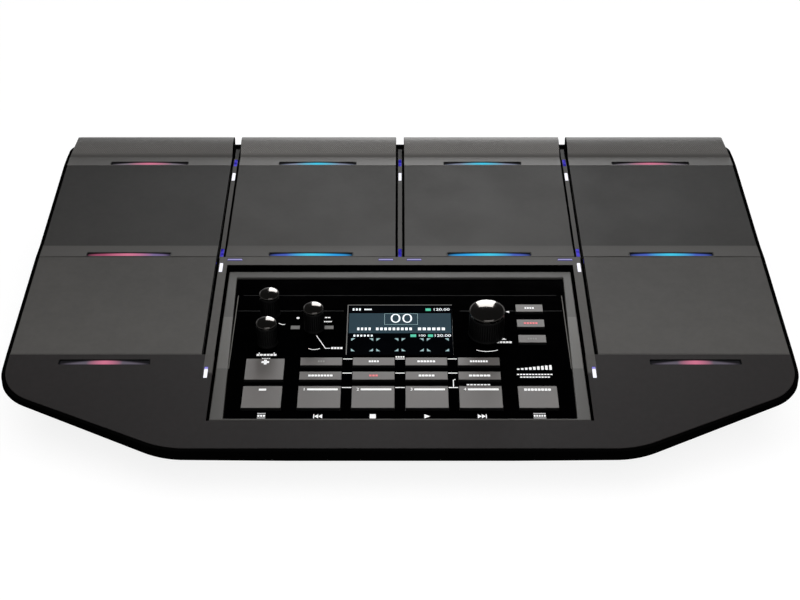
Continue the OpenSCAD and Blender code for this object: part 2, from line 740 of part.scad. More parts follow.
// Side view of a bar pad, with the ledge in front of it
function bar_side(y0) =
    let (z0 = lookup(y0, pad_line))
    concat([[y0, z0]], bar_crown(), [[y_back, z_back - pad_t], [y_bar, z_bar - pad_t], [y0, z0 - pad_t]]);
// Front view of a bar pad: its outer end slants inwards above the ledge
function bar_front(x0, x1, draft_l, draft_r) =
    let (low = z_bar_ledge - 2 * ledge_depth, high = z_back + bar_rise)
    [[x0, low], [x1, low], [x1, z_bar], [x1 - draft_r, high], [x0 + draft_l, high], [x0, z_bar]];
module bar_plug(c, grow, up) {
    plug(c[0] + 2 * plug_in, c[1] - 2 * plug_in, y_bar + bar_plug_in, y_back - 2 * bar_plug_in, grow, up);
}
module upper_plug(c, grow, up) {
    plug(c[0] + plug_in, c[1] - plug_in, y_upper + plug_in, y_bar_ledge - plug_in, grow, up);
}
module lower_plug(c, grow, up) {
    plug(c[0] + plug_in, c[1] - plug_in, y_lower + plug_in, y_ledge - plug_in, grow, up);
}
module bar_pad(i) {
    c = columns[i];
    draft_l = i == 0 ? bar_end_draft : 0;
    draft_r = i == 3 ? bar_end_draft : 0;
    color([0.22, 0.22, 0.22]) difference() {
        union() {
            intersection() {
                plan_prism(rim_w);
                side_prism(c[0], c[1], bar_side(y_bar_ledge + side_fit / 2));
                translate([0, far / 2, 0]) rotate([90, 0, 0]) linear_extrude(far)
                    polygon(bar_front(c[0], c[1], draft_l, draft_r));
            }
            bar_plug(c, 0, pad_t / 2);
        }
        light_cuts();
    }
}
// Side view of a flat pad, half a gap in from each crease
function pad_band(y0, y1) = band(stretch(y0 + side_fit / 2, y1 - side_fit / 2), 0, pad_t);
module upper_pad(i) {
    c = columns[i];
    color([0.25, 0.25, 0.25]) difference() {
        union() {
            side_prism(c[0], c[1], pad_band(y_ledge, y_bar_ledge));
            upper_plug(c, 0, pad_t / 2);
        }
        light_cuts();
    }
}
module lower_pad(i) {
    c = columns[i];
    color([0.28, 0.28, 0.27]) union() {
        side_prism(c[0], c[1], pad_band(y_lower, y_ledge));
        lower_plug(c, 0, pad_t / 2);
    }
}
module lower_pad_left() { lower_pad(0); }
module lower_pad_right() { lower_pad(3); }
module pad_sensors() {
    color([0.8, 0.65, 0.3]) for (p = sensor_table) on_slope(p[0], p[1], lookup(p[1], pad_line), pad_slope)
        bar(p[2], sensor_w - sensor_t, sensor_w);
}

// Lights
module pad_light_lenses() {
    size = [slot_l - 2 * drop_fit, slot_w - 2 * drop_fit];
    color([0.3, 0.6, 0.95]) for (p = light_table) on_slope(p[0], p[1], p[2], p[3])
        round_block(size, slot_r - drop_fit, -p[4] * cos(p[3]), -lens_depth);
}
module light_boards() {
    size = [slot_l, slot_w] + light_board_out;
    color([0.1, 0.35, 0.15]) for (p = light_table) on_slope(p[0], p[1], p[2], p[3])
        block(size, -p[4] * cos(p[3]) - light_board_t, -p[4] * cos(p[3]));
}
module white_light_rods() { color([0.95, 0.95, 1]) for (p = white_rods) rod(p, 0, 0, rod_h); }
module blue_light_rods() { color([0.35, 0.3, 0.9]) for (p = blue_rods) rod(p, 0, 0, rod_h); }

// Control panel
function panel_half(v) = bezel_half - bezel_front_w + (bezel_front_w - bezel_back_w) * v / bezel_l;
module panel_plan(v0, v1, gap) {
    h0 = panel_half(v0) - gap;
    h1 = panel_half(v1) - gap;
    polygon([[-h0, v0], [h0, v0], [h1, v1], [-h1, v1]]);
}
module panel_bezel() {
    color([0.36, 0.36, 0.35]) on_panel(0, 0, shelf_z) linear_extrude(bezel_t) difference() {
        translate([-bezel_half, 0]) square([2 * bezel_half, bezel_l]);
        panel_plan(bezel_lip, bezel_l - bezel_bar_l, 0);
    }
}
module control_panel() {
    color([0.01, 0.01, 0.012]) difference() {
        union() {
            on_panel(0, 0, shelf_z) linear_extrude(face_w - shelf_z) panel_plan(panel_v0, panel_v1, drop_fit);
            for (x = [-post_x, post_x], v = post_vs) on_panel(x, v) bar(post_r, board_w, shelf_z + past);
        }
        for (k = key_table) on_panel(k[1], k[2])
            block([k[3] + 2 * key_fit, k[4] + 2 * key_fit], shelf_z - past, face_w + past);
        for (k = knob_table) on_panel(k[1], k[2]) bar(bush_hole_r, shelf_z - past, face_w + past);
        on_panel(knob_column, dial_v) bar(bush_hole_r, shelf_z - past, face_w + past);
        on_panel(0, display_v) block([display_w, display_l], shelf_z - past, face_w + past);
        for (x = [-post_x, post_x], v = post_vs) on_panel(x, v)
            bar(board_screw_r + run_fit, board_w - past, board_w + board_screw_l);
    }
}
module display_lens() {
    color([0.1, 0.16, 0.2]) on_panel(0, display_v)
        block([display_w - 2 * drop_fit, display_l - 2 * drop_fit], lens_w0, lens_w1);
}
module display_module() {
    frame = [display_w, display_l] + frame_out;
    color([0.5, 0.5, 0.52]) on_panel(0, display_v) union() {
        block([display_w - 2 * drop_fit, display_l - 2 * drop_fit], shelf_z - past, lens_w0);
        block(frame, shelf_z - frame_t, shelf_z);
        for (x = [-1, 1], y = [-1, 1])
            translate([x * (frame[0] / 2 - leg_in), y * (frame[1] / 2 - leg_in), 0])
                bar(leg_r, board_w, shelf_z - frame_t + past);
    }
}
module control_board() {
    half = post_x + board_side;
    v0 = post_vs[0] - board_end;
    color([0.05, 0.3, 0.12]) difference() {
        on_panel(-half, v0, board_w - board_t) cube([2 * half, post_vs[1] + board_end - v0, board_t]);
        for (x = [-post_x, post_x], v = post_vs) on_panel(x, v)
            bar(board_screw_r + drop_fit, board_w - board_t - past, board_w + past);
    }
}
module tact_switches() {
    color([0.15, 0.15, 0.16]) for (k = key_table) on_panel(k[1], k[2]) union() {
        block([switch_s, min(switch_s, k[4])], board_w, switch_w1 - switch_cap_h);
        bar(switch_cap_r, switch_w1 - switch_cap_h - past, switch_w1);
    }
}
module key(k) {
    color([0.5, 0.5, 0.49]) on_panel(k[1], k[2]) union() {
        block([k[3], k[4]], skirt_w0, face_w + key_proud);
        block([k[3] + 2 * skirt_out, k[4] + 2 * skirt_out], skirt_w0, skirt_w1);
        bar(switch_cap_r, skirt_w0 - stub_h, skirt_w0 + past);
    }
}

// Knobs, drawn on their own axis from the panel's face
module knob_form(r, h, dome) {
    top_r = r * knob_taper;
    rotate_extrude() polygon(concat([[0, 0], [r, 0], [r, h * knob_foot]],
        [for (a = [0:dome_step:90]) [top_r * cos(a), h - dome + dome * sin(a)]]));
}
module pointer_cut(r, h) {
    translate([-pointer_w / 2, r * knob_taper - pointer_depth, h * pointer_foot]) cube([pointer_w, r, h]);
}
module small_knob(k) {
    w0 = face_w + knob_gap;
    color([0.06, 0.06, 0.065]) on_panel(k[1], k[2]) union() {
        translate([0, 0, w0]) difference() {
            knob_form(knob_d / 2, knob_h, knob_dome);
            pointer_cut(knob_d / 2, knob_h);
        }
        bar(spindle_d / 2, spindle_w0, w0 + past);
    }
}
module level_pots() {
    color([0.55, 0.56, 0.58]) for (k = knob_table) on_panel(k[1], k[2]) difference() {
        union() {
            block(pot_s, board_w, pot_w1);
            bar(bush_r, pot_w1 - past, bush_w1);
        }
        bar(spindle_d / 2 + run_fit, spindle_w0 - end_fit, face_w);
    }
}
module main_dial() {
    color([0.05, 0.05, 0.055]) on_panel(knob_column, dial_v, face_w + knob_gap) difference() {
        knob_form(dial_d / 2, dial_h, dial_dome);
        pointer_cut(dial_d / 2, dial_h);
        bar(spindle_d / 2 + run_fit, -past, dial_h * socket_share);
    }
}
module dial_spindle() {
    color([0.6, 0.6, 0.62]) on_panel(knob_column, dial_v)
        bar(spindle_d / 2, plunger_w0 + plunger_h, face_w + knob_gap + dial_h * socket_share);
}
module dial_plunger() {
    color([0.7, 0.7, 0.7]) on_panel(knob_column, dial_v)
        bar(spindle_d / 2, plunger_w0, plunger_w0 + plunger_h);
}
module dial_encoder() {
    color([0.5, 0.5, 0.52]) on_panel(knob_column, dial_v) difference() {
        union() {
            block(encoder_s, board_w, pot_w1);
            bar(bush_r, pot_w1 - past, bush_w1);
        }
        bar(spindle_d / 2 + run_fit, chamber_w0, face_w);
    }
}

// Boards and rear sockets
module board_screws() {
    color([0.6, 0.6, 0.6]) {
        for (p = standoffs) translate([p[0], p[1], 0]) {
            bar(board_screw_head_r, main_board_top, main_board_top + board_screw_head_h);
            bar(board_screw_r, main_board_z - board_screw_l + end_fit, main_board_top + past);
        }
        for (x = [-post_x, post_x], v = post_vs) on_panel(x, v) {
            bar(board_screw_head_r, board_w - board_t - board_screw_head_h, board_w - board_t);
            bar(board_screw_r, board_w - board_t - past, board_w + board_screw_l - end_fit);
        }
    }
}
module main_board() {
    color([0.05, 0.3, 0.12]) difference() {
        translate([-main_board_half_w, main_board_y0, main_board_z])
            cube([2 * main_board_half_w, main_board_l, board_t]);
        for (p = standoffs) translate([p[0], p[1], main_board_z - past])
            cylinder(r = board_screw_r + drop_fit, h = board_t + 2 * past);
    }
}
module panel_hole(x, z, r) { bar_y(x, z, r, rear_inner_y - past, rear_face_y + past); }
// The rear panel: a plate for the jacks and, beside it, one for the sockets and the power button
module rear_panel() {
    top = lookup(rear_inner_y, rim_line) - side_fit;
    color([0.04, 0.04, 0.04]) difference() {
        translate([-rear_half_w + side_fit, rear_inner_y, rear_panel_z])
            cube([2 * (rear_half_w - side_fit), rear_panel_t, top - rear_panel_z]);
        for (x = jack_xs) panel_hole(x, socket_z, jack_nose_d / 2 + drop_fit);
        panel_hole(dc_x, socket_z, dc_bore_d / 2 + dc_wall + drop_fit);
        panel_hole(power_x, power_z, power_d / 2 + side_fit);
        translate([usb_x - usb_s[0] / 2 - drop_fit, rear_inner_y - past, socket_z - usb_s[2] / 2 - drop_fit])
            cube([usb_s[0] + 2 * drop_fit, rear_panel_t + 2 * past, usb_s[2] + 2 * drop_fit]);
        translate([plate_seam_x - plate_seam / 2, rear_inner_y - past, rear_panel_z - past])
            cube([plate_seam, rear_panel_t + 2 * past, far]);
    }
}
module jack_sockets() {
    color([0.05, 0.05, 0.05]) for (x = jack_xs) difference() {
        union() {
            translate([x - jack_body[0] / 2, rear_inner_y - jack_body[1], main_board_top]) cube(jack_body);
            bar_y(x, socket_z, jack_nose_d / 2, rear_inner_y - past, nose_y);
        }
        bar_y(x, socket_z, jack_bore_d / 2, nose_y - jack_bore_l, nose_y + past);
    }
}
module jack_nuts() {
    color([0.6, 0.6, 0.6]) for (x = jack_xs) difference() {
        translate([x, rear_face_y, socket_z]) rotate([-90, 0, 0]) cylinder(r = nut_r, h = nut_t, $fn = 6);
        bar_y(x, socket_z, jack_nose_d / 2 + run_fit, rear_face_y - past, rear_face_y + nut_t + past);
    }
}
module dc_inlet() {
    y0 = rear_inner_y - dc_s[1];
    color([0.05, 0.05, 0.05]) union() {
        difference() {
            union() {
                translate([dc_x - dc_s[0] / 2, y0, main_board_top])
                    cube([dc_s[0], dc_s[1], socket_z + dc_s[2] / 2 - main_board_top]);
                bar_y(dc_x, socket_z, dc_bore_d / 2 + dc_wall, rear_inner_y - past, rear_face_y);
            }
            bar_y(dc_x, socket_z, dc_bore_d / 2, y0 + dc_back, rear_face_y + past);
        }
        bar_y(dc_x, socket_z, dc_pin_d / 2, y0 + dc_back - past, rear_face_y - past);
    }
}
module usb_socket() {
    y0 = rear_inner_y - usb_s[1];
    color([0.65, 0.65, 0.66]) translate([usb_x, y0, 0]) difference() {
        union() {
            translate([-usb_s[0] / 2, 0, main_board_top])
                cube([usb_s[0], usb_s[1], socket_z + usb_s[2] / 2 - main_board_top]);
            translate([-usb_s[0] / 2, 0, socket_z - usb_s[2] / 2])
                cube([usb_s[0], rear_face_y - y0, usb_s[2]]);
        }
        translate([-usb_hole[0] / 2, usb_back, socket_z - usb_hole[1] / 2])
            cube([usb_hole[0], far, usb_hole[1]]);
    }
}
module power_button() {
    flange_y = rear_inner_y - side_fit;
    color([0.1, 0.1, 0.1]) union() {
        bar_y(power_x, power_z, power_d / 2, flange_y - past, rear_face_y + power_travel);
        bar_y(power_x, power_z, power_d / 2 + flange_out, flange_y - flange_t, flange_y);
    }
}

top_case();
bottom_case();
rubber_feet();
case_screws();
for (i = [0:3]) bar_pad(i);
for (i = [0:3]) upper_pad(i);
lower_pad_left();
lower_pad_right();
pad_sensors();
pad_light_lenses();
light_boards();
white_light_rods();
blue_light_rods();
panel_bezel();
control_panel();
display_lens();
display_module();
control_board();
tact_switches();
level_pots();
board_screws();
for (k = knob_table) small_knob(k);
main_dial();
dial_spindle();
dial_plunger();
dial_encoder();
for (k = key_table) key(k);
rear_panel();
jack_sockets();
jack_nuts();
dc_inlet();
usb_socket();
power_button();
main_board();
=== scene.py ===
# Looks of a sampling drum pad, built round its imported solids.
# Metres: +X is the player's right, +Y points away from the player, +Z is up.
import json
import math

import bmesh
import bpy
from mathutils import Matrix, Vector


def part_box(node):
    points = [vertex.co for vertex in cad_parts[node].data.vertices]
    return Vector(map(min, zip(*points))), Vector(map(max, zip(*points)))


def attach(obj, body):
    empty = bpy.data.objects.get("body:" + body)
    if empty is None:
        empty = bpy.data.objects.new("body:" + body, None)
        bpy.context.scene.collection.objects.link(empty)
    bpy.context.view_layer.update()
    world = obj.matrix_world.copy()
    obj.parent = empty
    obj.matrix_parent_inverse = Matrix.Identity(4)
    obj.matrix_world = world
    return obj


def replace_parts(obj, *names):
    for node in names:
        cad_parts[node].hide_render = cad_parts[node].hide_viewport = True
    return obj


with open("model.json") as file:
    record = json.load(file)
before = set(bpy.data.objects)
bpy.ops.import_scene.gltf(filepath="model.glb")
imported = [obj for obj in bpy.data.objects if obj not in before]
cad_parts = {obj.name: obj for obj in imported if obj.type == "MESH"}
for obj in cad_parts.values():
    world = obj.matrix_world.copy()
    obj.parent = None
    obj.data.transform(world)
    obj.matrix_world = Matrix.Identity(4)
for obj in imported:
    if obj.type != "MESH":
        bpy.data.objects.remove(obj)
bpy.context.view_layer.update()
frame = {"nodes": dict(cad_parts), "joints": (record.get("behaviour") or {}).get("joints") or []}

MM = 0.001
NODES = frame["nodes"]
JOINTS = {joint["name"]: joint for joint in frame["joints"]}


# Frame of the control panel: x across, v up the slope from the bezel's front edge, w square to the face
def panel_frame():
    normal = Vector(JOINTS["effect_knob_turn"]["axis"])
    along = Vector((0, normal.z, -normal.y))
    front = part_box("panel_bezel")[0].y
    point = Vector(JOINTS["effect_knob_turn"]["pos_m"])
    run = (point.y - front) / along.y
    origin = Vector((0, front, point.z - run * along.z))
    return Matrix((
        (1, 0, 0, 0),
        (0, along.y, normal.y, origin.y),
        (0, along.z, normal.z, origin.z),
        (0, 0, 0, 1),
    ))


PANEL = panel_frame()
TO_PANEL = PANEL.inverted()


def on_panel(x, v, w=0.0):
    """The panel's frame moved to a place on the panel, in millimetres."""
    return PANEL @ Matrix.Translation(Vector((x, v, w)) * MM)


def panel_points(node):
    return [TO_PANEL @ vertex.co / MM for vertex in NODES[node].data.vertices]


def top_face(node, depth=0.05):
    """Lowest and highest corner of a node's top face on the panel, in millimetres."""
    points = panel_points(node)
    top = max(point.z for point in points)
    face = [point for point in points if point.z > top - depth]
    low = Vector((min(p.x for p in face), min(p.y for p in face), top))
    high = Vector((max(p.x for p in face), max(p.y for p in face), top))
    return low, high


def joint_place(joint):
    point = TO_PANEL @ Vector(JOINTS[joint]["pos_m"]) / MM
    return point.x, point.y


# Rows and columns of the pads, from their solids
SEAM = 0.15 * MM
COLUMNS = [(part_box(f"upper_pad_{i}")[0].x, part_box(f"upper_pad_{i}")[1].x) for i in range(1, 5)]
LEDGE_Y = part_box("upper_pad_1")[0].y - SEAM
BAR_LEDGE_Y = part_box("bar_pad_1")[0].y - SEAM
LOWER_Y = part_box("lower_pad_left")[0].y - SEAM
LEDGE_L = 12.2 * MM
BAR_LEDGE_L = 10.5 * MM
BAR_Y = BAR_LEDGE_Y + BAR_LEDGE_L
LEDGE_SLOPE = math.radians(3)
APRON_SLOPE = math.radians(10)
RAIL_FACE = 1.25 * MM
BORDER_X = 106.3 * MM
CROSS_ROD_Y = LEDGE_Y - 2.6 * MM
WELL_X = 101.3 * MM
WELL_Y = (LOWER_Y - 49 * MM, LEDGE_Y - 5 * MM)
# Black tones of painted shade
SHADE_BLACK = (0.0005, 0.0005, 0.0005, 1.0)
SHADE_DARK = (0.0015, 0.0015, 0.0015, 1.0)


# Node trees: sockets take part in arithmetic, and one method adds every other node
class Value:
    """A socket of a node tree. Arithmetic on it adds Math nodes."""

    def __init__(self, nodes, socket):
        self.nodes = nodes
        self.socket = socket

    def math(self, operation, first, second=None):
        return self.nodes.node("ShaderNodeMath", {"operation": operation}, {0: first, 1: second})

    def __add__(self, other):
        return self.math("ADD", self, other)

    def __sub__(self, other):
        return self.math("SUBTRACT", self, other)

    def __rsub__(self, other):
        return self.math("SUBTRACT", other, self)

    def __mul__(self, other):
        return self.math("MULTIPLY", self, other)

    def sine(self):
        return self.math("SINE", self)

    def size(self):
        return self.math("ABSOLUTE", self)

    def most(self, other):
        return self.math("MAXIMUM", self, other)

    def step(self, low, high):
        """A smooth step from 0 at low to 1 at high."""
        inputs = {"Value": self, "From Min": low, "From Max": high}
        return self.nodes.node("ShaderNodeMapRange", {"interpolation_type": "SMOOTHSTEP"}, inputs)

    def within(self, low, high, soft=0.1 * MM):
        """1 between two bounds and 0 outside them."""
        return self.step(low - soft, low + soft) * (1 - self.step(high - soft, high + soft))


class Nodes:
    """A node tree and the way to add to it."""

    def __init__(self, tree):
        self.tree = tree

    def node(self, kind, settings=None, inputs=None, output=0):
        made = self.tree.nodes.new(kind)
        for key, value in (settings or {}).items():
            setattr(made, key, value)
        for key, value in (inputs or {}).items():
            self.give(made.inputs[key], value)
        return Value(self, made.outputs[output]) if made.outputs else None

    def give(self, socket, value):
        """Links a value to a socket, or sets the socket to a plain one."""
        if isinstance(value, Value):
            self.tree.links.new(value.socket, socket)
        elif value is not None:
            socket.default_value = value


class Finish(Nodes):
    """A procedural material: one Principled shader and the nodes that feed it."""

    def __init__(self, name, **fixed):
        self.material = bpy.data.materials.new(name)
        self.material.use_nodes = True
        super().__init__(self.material.node_tree)
        self.shader = self.tree.nodes["Principled BSDF"]
        for socket, value in fixed.items():
            self.shader.inputs[socket.replace("_", " ")].default_value = value

    def place(self):
        return self.node("ShaderNodeTexCoord", output="Object")

    def axes(self):
        place = self.place()
        return [self.node("ShaderNodeSeparateXYZ", inputs={0: place}, output=i) for i in range(3)]

    def noise(self, size, detail=2.0, stretch=None):
        """Noise with features of a given size in metres."""
        place = self.place()
        if stretch:
            place = self.node("ShaderNodeMapping", inputs={"Vector": place, "Scale": stretch})
        return self.node("ShaderNodeTexNoise", inputs={"Vector": place, "Scale": 1 / size, "Detail": detail})

    def blend(self, factor, first, second):
        return self.node("ShaderNodeMix", {"data_type": "RGBA"}, {0: factor, 6: first, 7: second}, 2)

    def feed(self, socket, value):
        self.give(self.shader.inputs[socket], value)

    def own(self):
        return Value(self, self.shader.outputs[0])

    def mix(self, factor, first, second):
        return self.node("ShaderNodeMixShader", inputs={0: factor, 1: first, 2: second})

    def surface(self, shader):
        self.give(self.tree.nodes["Material Output"].inputs["Surface"], shader)

    def cover(self, mask, tone):
        """Lays dull black over the finish where the mask is 1, as painted shade."""
        inputs = {"Base Color": tone, "Roughness": 0.9, "Specular IOR Level": 0.0}
        self.surface(self.mix(mask, self.own(), self.node("ShaderNodeBsdfPrincipled", inputs=inputs)))

    def bump(self, height, strength, depth):
        inputs = {"Height": height, "Strength": strength, "Distance": depth}
        self.feed("Normal", self.node("ShaderNodeBump", inputs=inputs))


class Shaper(Nodes):
    """A Geometry Nodes tree with named inputs."""

    def __init__(self, name, **inputs):
        super().__init__(bpy.data.node_groups.new(name, "GeometryNodeTree"))
        face = self.tree.interface
        face.new_socket("Geometry", in_out="INPUT", socket_type="NodeSocketGeometry")
        self.sockets = {}
        for key, kind in inputs.items():
            made = face.new_socket(key, in_out="INPUT", socket_type=f"NodeSocket{kind}")
            self.sockets[key] = made.identifier
        face.new_socket("Geometry", in_out="OUTPUT", socket_type="NodeSocketGeometry")

    def entry(self, name):
        return self.node("NodeGroupInput", output=name)

    def close(self, geometry):
        self.node("NodeGroupOutput", inputs={0: geometry})

    def repeat(self, points, shape):
        """Ends the tree with a shape on each point, in the material of its Finish input."""
        each = self.node("GeometryNodeInstanceOnPoints", inputs={"Points": points, "Instance": shape})
        real = self.node("GeometryNodeRealizeInstances", inputs={0: each})
        inputs = {"Geometry": real, "Material": self.entry("Finish")}
        self.close(self.node("GeometryNodeSetMaterial", inputs=inputs))

    def plain_mesh(self, name, start, place, **values):
        """The tree's result on a start mesh, as a plain mesh moved to its place."""
        obj = new_object(name, start)
        modifier = obj.modifiers.new(name, "NODES")
        modifier.node_group = self.tree
        for key, value in values.items():
            modifier[self.sockets[key]] = value
        mesh = evaluated_mesh(obj)
        mesh.name = name
        mesh.transform(place)
        return mesh


def new_object(name, data):
    obj = bpy.data.objects.new(name, data)
    bpy.context.scene.collection.objects.link(obj)
    return obj


def evaluated_mesh(obj):
    """The plain mesh of an object with its modifiers applied. The object itself goes."""
    evaluated = obj.evaluated_get(bpy.context.evaluated_depsgraph_get())
    mesh = bpy.data.meshes.new_from_object(evaluated)
    bpy.data.objects.remove(obj)
    return mesh


def shade(tone, share=1.0):
    return (tone[0] * share, tone[1] * share, tone[2] * share, 1.0)


def panel_height(y, z):
    """Height of a shading point above the plane of the control panel."""
    square = PANEL.col[2]
    level = PANEL.translation.dot(square.to_3d())
    return y * square.y + z * square.z - level


def deck_plastic(apron, border, rails):
    """Plastic of the top case: a dark apron and paler rails and border, with painted shade: black channels
    and well, and dim rails at the channel ends between the bars.
    """
    finish = Finish("deck_plastic", Specular_IOR_Level=0.12)
    x, y, z = finish.axes()
    side = x.size()
    slow = finish.noise(45 * MM, 3).step(0.25, 0.75)
    fine = finish.noise(0.5 * MM, 3)
    inner_x0, inner_x1 = COLUMNS[2]
    outer_x0 = COLUMNS[3][0]
    rail = (inner_x1 + outer_x0) / 2
    soft = 0.05 * MM
    upper = y.step(LEDGE_Y - 0.3 * MM, LEDGE_Y)
    behind = y.step(LOWER_Y - 0.6 * MM, LOWER_Y)
    # Painted shade: the channels beside the rails and the groove by the outer lower pads are painted black
    beside = side.within(inner_x1, rail - RAIL_FACE, soft) + side.within(rail + RAIL_FACE, outer_x0, soft)
    channels = upper * (beside + side.within(RAIL_FACE, inner_x0, soft))
    groove_shade = channels + (1 - upper) * behind * side.within(BORDER_X - SEAM, outer_x0, soft)
    height = panel_height(y, z)
    border_top = max(p.z for p in panel_points("top_case") if abs(abs(p.x) * MM - WELL_X) < SEAM) * MM
    # Painted shade: the well round the control panel is painted black below the panel's face and the
    # border's top
    inside = 1 - side.step(WELL_X + 0.4 * MM, WELL_X + 0.6 * MM)
    below_face = 1 - height.step(-0.3 * MM, -0.05 * MM)
    below_border = 1 - height.step(border_top - 0.3 * MM, border_top - 0.12 * MM)
    well_front = y.within(WELL_Y[0], LOWER_Y) * below_face
    well_back = y.within(LOWER_Y, WELL_Y[1]) * below_border
    well = inside * (well_front + well_back)
    # Painted shade: the rails go dim at the channel ends between the bars
    ends = y.step(BAR_Y, BAR_Y + 1 * MM)
    cloud = finish.noise(3.2 * MM, 3).step(0.3, 0.7)
    drift = slow * 0.4 + cloud * 0.3 + fine * 0.3
    front = finish.blend(drift, shade(apron, 0.8), shade(apron, 1.2))
    middle = finish.blend(drift, shade(border, 0.88), shade(border, 1.12))
    back = finish.blend(drift, shade(rails, 0.88), shade(rails, 1.12))
    strip = y.step(LOWER_Y - 16 * MM, LOWER_Y - 13 * MM) * (1 - side.step(BORDER_X - SEAM, BORDER_X))
    dim = finish.blend(drift, (0.008, 0.008, 0.008, 1), (0.013, 0.013, 0.013, 1))
    rail_tone = finish.blend(ends, back, dim)
    tone = finish.blend((behind + strip).step(0, 1), front, finish.blend(upper, middle, rail_tone))
    finish.feed("Base Color", tone)
    finish.cover((groove_shade + well).step(0, 1), finish.blend(drift, SHADE_BLACK, SHADE_DARK))
    finish.feed("Roughness", fine * 0.14 + slow * 0.06 + 0.5)
    finish.bump(fine, 0.35, 0.08 * MM)
    return finish


def pad_rubber(tone):
    """Rubber of the pads: a little patchy, with painted light and shade: paler ledges, each pad paler
    towards its front, lower pads paler and outer upper pads darker than the inner ones, and black flanks
    along the channels.
    """
    finish = Finish("pad_rubber", Specular_IOR_Level=0.15)
    x, y, _ = finish.axes()
    slow = finish.noise(38 * MM, 4).step(0.25, 0.75)
    patch = finish.noise(11 * MM, 3).step(0.3, 0.7)
    cloud = finish.noise(3.2 * MM, 3).step(0.3, 0.7)
    fine = finish.noise(0.45 * MM, 3)
    drift = slow * 0.3 + patch * 0.25 + cloud * 0.2 + fine * 0.25
    # Painted light: paler ledges, and each pad paler towards its front
    ledge = y.within(LEDGE_Y, LEDGE_Y + LEDGE_L, 0.5 * MM)
    lower = 1 - y.step(LEDGE_Y - 0.3 * MM, LEDGE_Y)
    outer = x.size().step(COLUMNS[2][1], COLUMNS[3][0])
    lower_front_light = lower * (1 - y.step(LOWER_Y, LEDGE_Y))
    upper_front_light = (1 - lower) * (1 - y.step(LEDGE_Y + LEDGE_L, BAR_LEDGE_Y))
    lit = drift * 0.5 + (lower_front_light + upper_front_light) * 0.5
    # Painted light and shade: the lower pads are lighter and the outer upper pads darker than the inner
    # upper pads
    inner_pad = finish.blend(lit, shade(tone, 0.5), shade(tone, 0.92))
    outer_pad_shaded = finish.blend(lit, shade(tone, 0.21), shade(tone, 0.55))
    lower_pad = finish.blend(lit, shade(tone, 1.0), shade(tone, 1.85))
    pale = finish.blend(slow * 0.5 + fine * 0.5, shade(tone, 1.16), shade(tone, 1.5))
    upper_pad = finish.blend(outer, inner_pad, outer_pad_shaded)
    face = finish.blend(ledge, finish.blend(lower, upper_pad, lower_pad), pale)
    finish.feed("Base Color", face)
    # Painted shade: black flanks along the channels
    finish.cover(flanks(x.size()), finish.blend(fine, SHADE_BLACK, SHADE_DARK))
    finish.feed("Roughness", fine * 0.14 + slow * 0.06 + 0.54)
    finish.bump(fine, 0.35, 0.1 * MM)
    return finish


def flanks(side):
    """The flanks of the pads along the channels, painted black as shade: 1 within a hair of a column's edge.
    """
    reach = 0.15 * MM
    edges = (COLUMNS[2][0], COLUMNS[2][1], COLUMNS[3][0])
    near = [1 - (side - edge).size().step(reach, reach + 0.1 * MM) for edge in edges]
    return near[0] + near[1] + near[2]


def moulded(name, tone, rough, grain, relief, drift=0.14, **fixed):
    """Moulded rubber or plastic: a slow drift of tone, a fine grain and a little wear in the gloss."""
    finish = Finish(name, **fixed)
    slow = finish.noise(60 * MM, 3)
    fine = finish.noise(grain, 3)
    tones = shade(tone, 1 - drift), shade(tone, 1 + drift)
    finish.feed("Base Color", finish.blend(slow * 0.55 + fine * 0.45, *tones))
    finish.feed("Roughness", fine * 0.14 + slow * 0.06 + (rough - 0.1))
    finish.bump(fine, 0.35, relief)
    return finish


def rear_plastic():
    """Black of the rear panel, with painted shade in dull black along its top edge."""
    grain = 0.6 * MM
    tone = (0.0135, 0.0135, 0.0137)
    finish = moulded("rear_black", tone, 0.55, grain, 0.08 * MM, 0.185, Specular_IOR_Level=0.2)
    _, _, z = finish.axes()
    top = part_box("rear_panel")[1].z
    # Painted shade: a dull black strip along the top edge
    edge = z.step(top - 0.4 * MM, top - 0.2 * MM)
    finish.cover(edge, finish.blend(finish.noise(grain, 3), SHADE_BLACK, SHADE_DARK))
    return finish


def shell_black():
    """Black of the bottom case: painted shade in deep dull black along the front and the lip, moulded
    plastic elsewhere.
    """
    finish = Finish("shell_black", Specular_IOR_Level=0.2)
    x, y, z = finish.axes()
    low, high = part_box("bottom_case")
    # Painted shade: deep black on the front and along the side lip, but not on the underside
    front = 1 - y.step(LOWER_Y - 12 * MM, LOWER_Y)
    lip = x.size().step(high.x - 3 * MM, high.x - 1.5 * MM)
    wall = z.step(low.z + 0.05 * MM, low.z + 0.3 * MM)
    slow = finish.noise(40 * MM, 3)
    fine = finish.noise(0.7 * MM, 3)
    drift = slow * 0.5 + fine * 0.5
    finish.feed("Base Color", finish.blend(drift, (0.007, 0.007, 0.0072, 1), (0.012, 0.012, 0.0122, 1)))
    finish.cover((front + lip).step(0, 1) * wall, finish.blend(drift, SHADE_BLACK, (0.0025, 0.0025, 0.0025, 1)))
    finish.feed("Roughness", fine * 0.2 + 0.45)
    finish.bump(fine, 0.4, 0.08 * MM)
    return finish


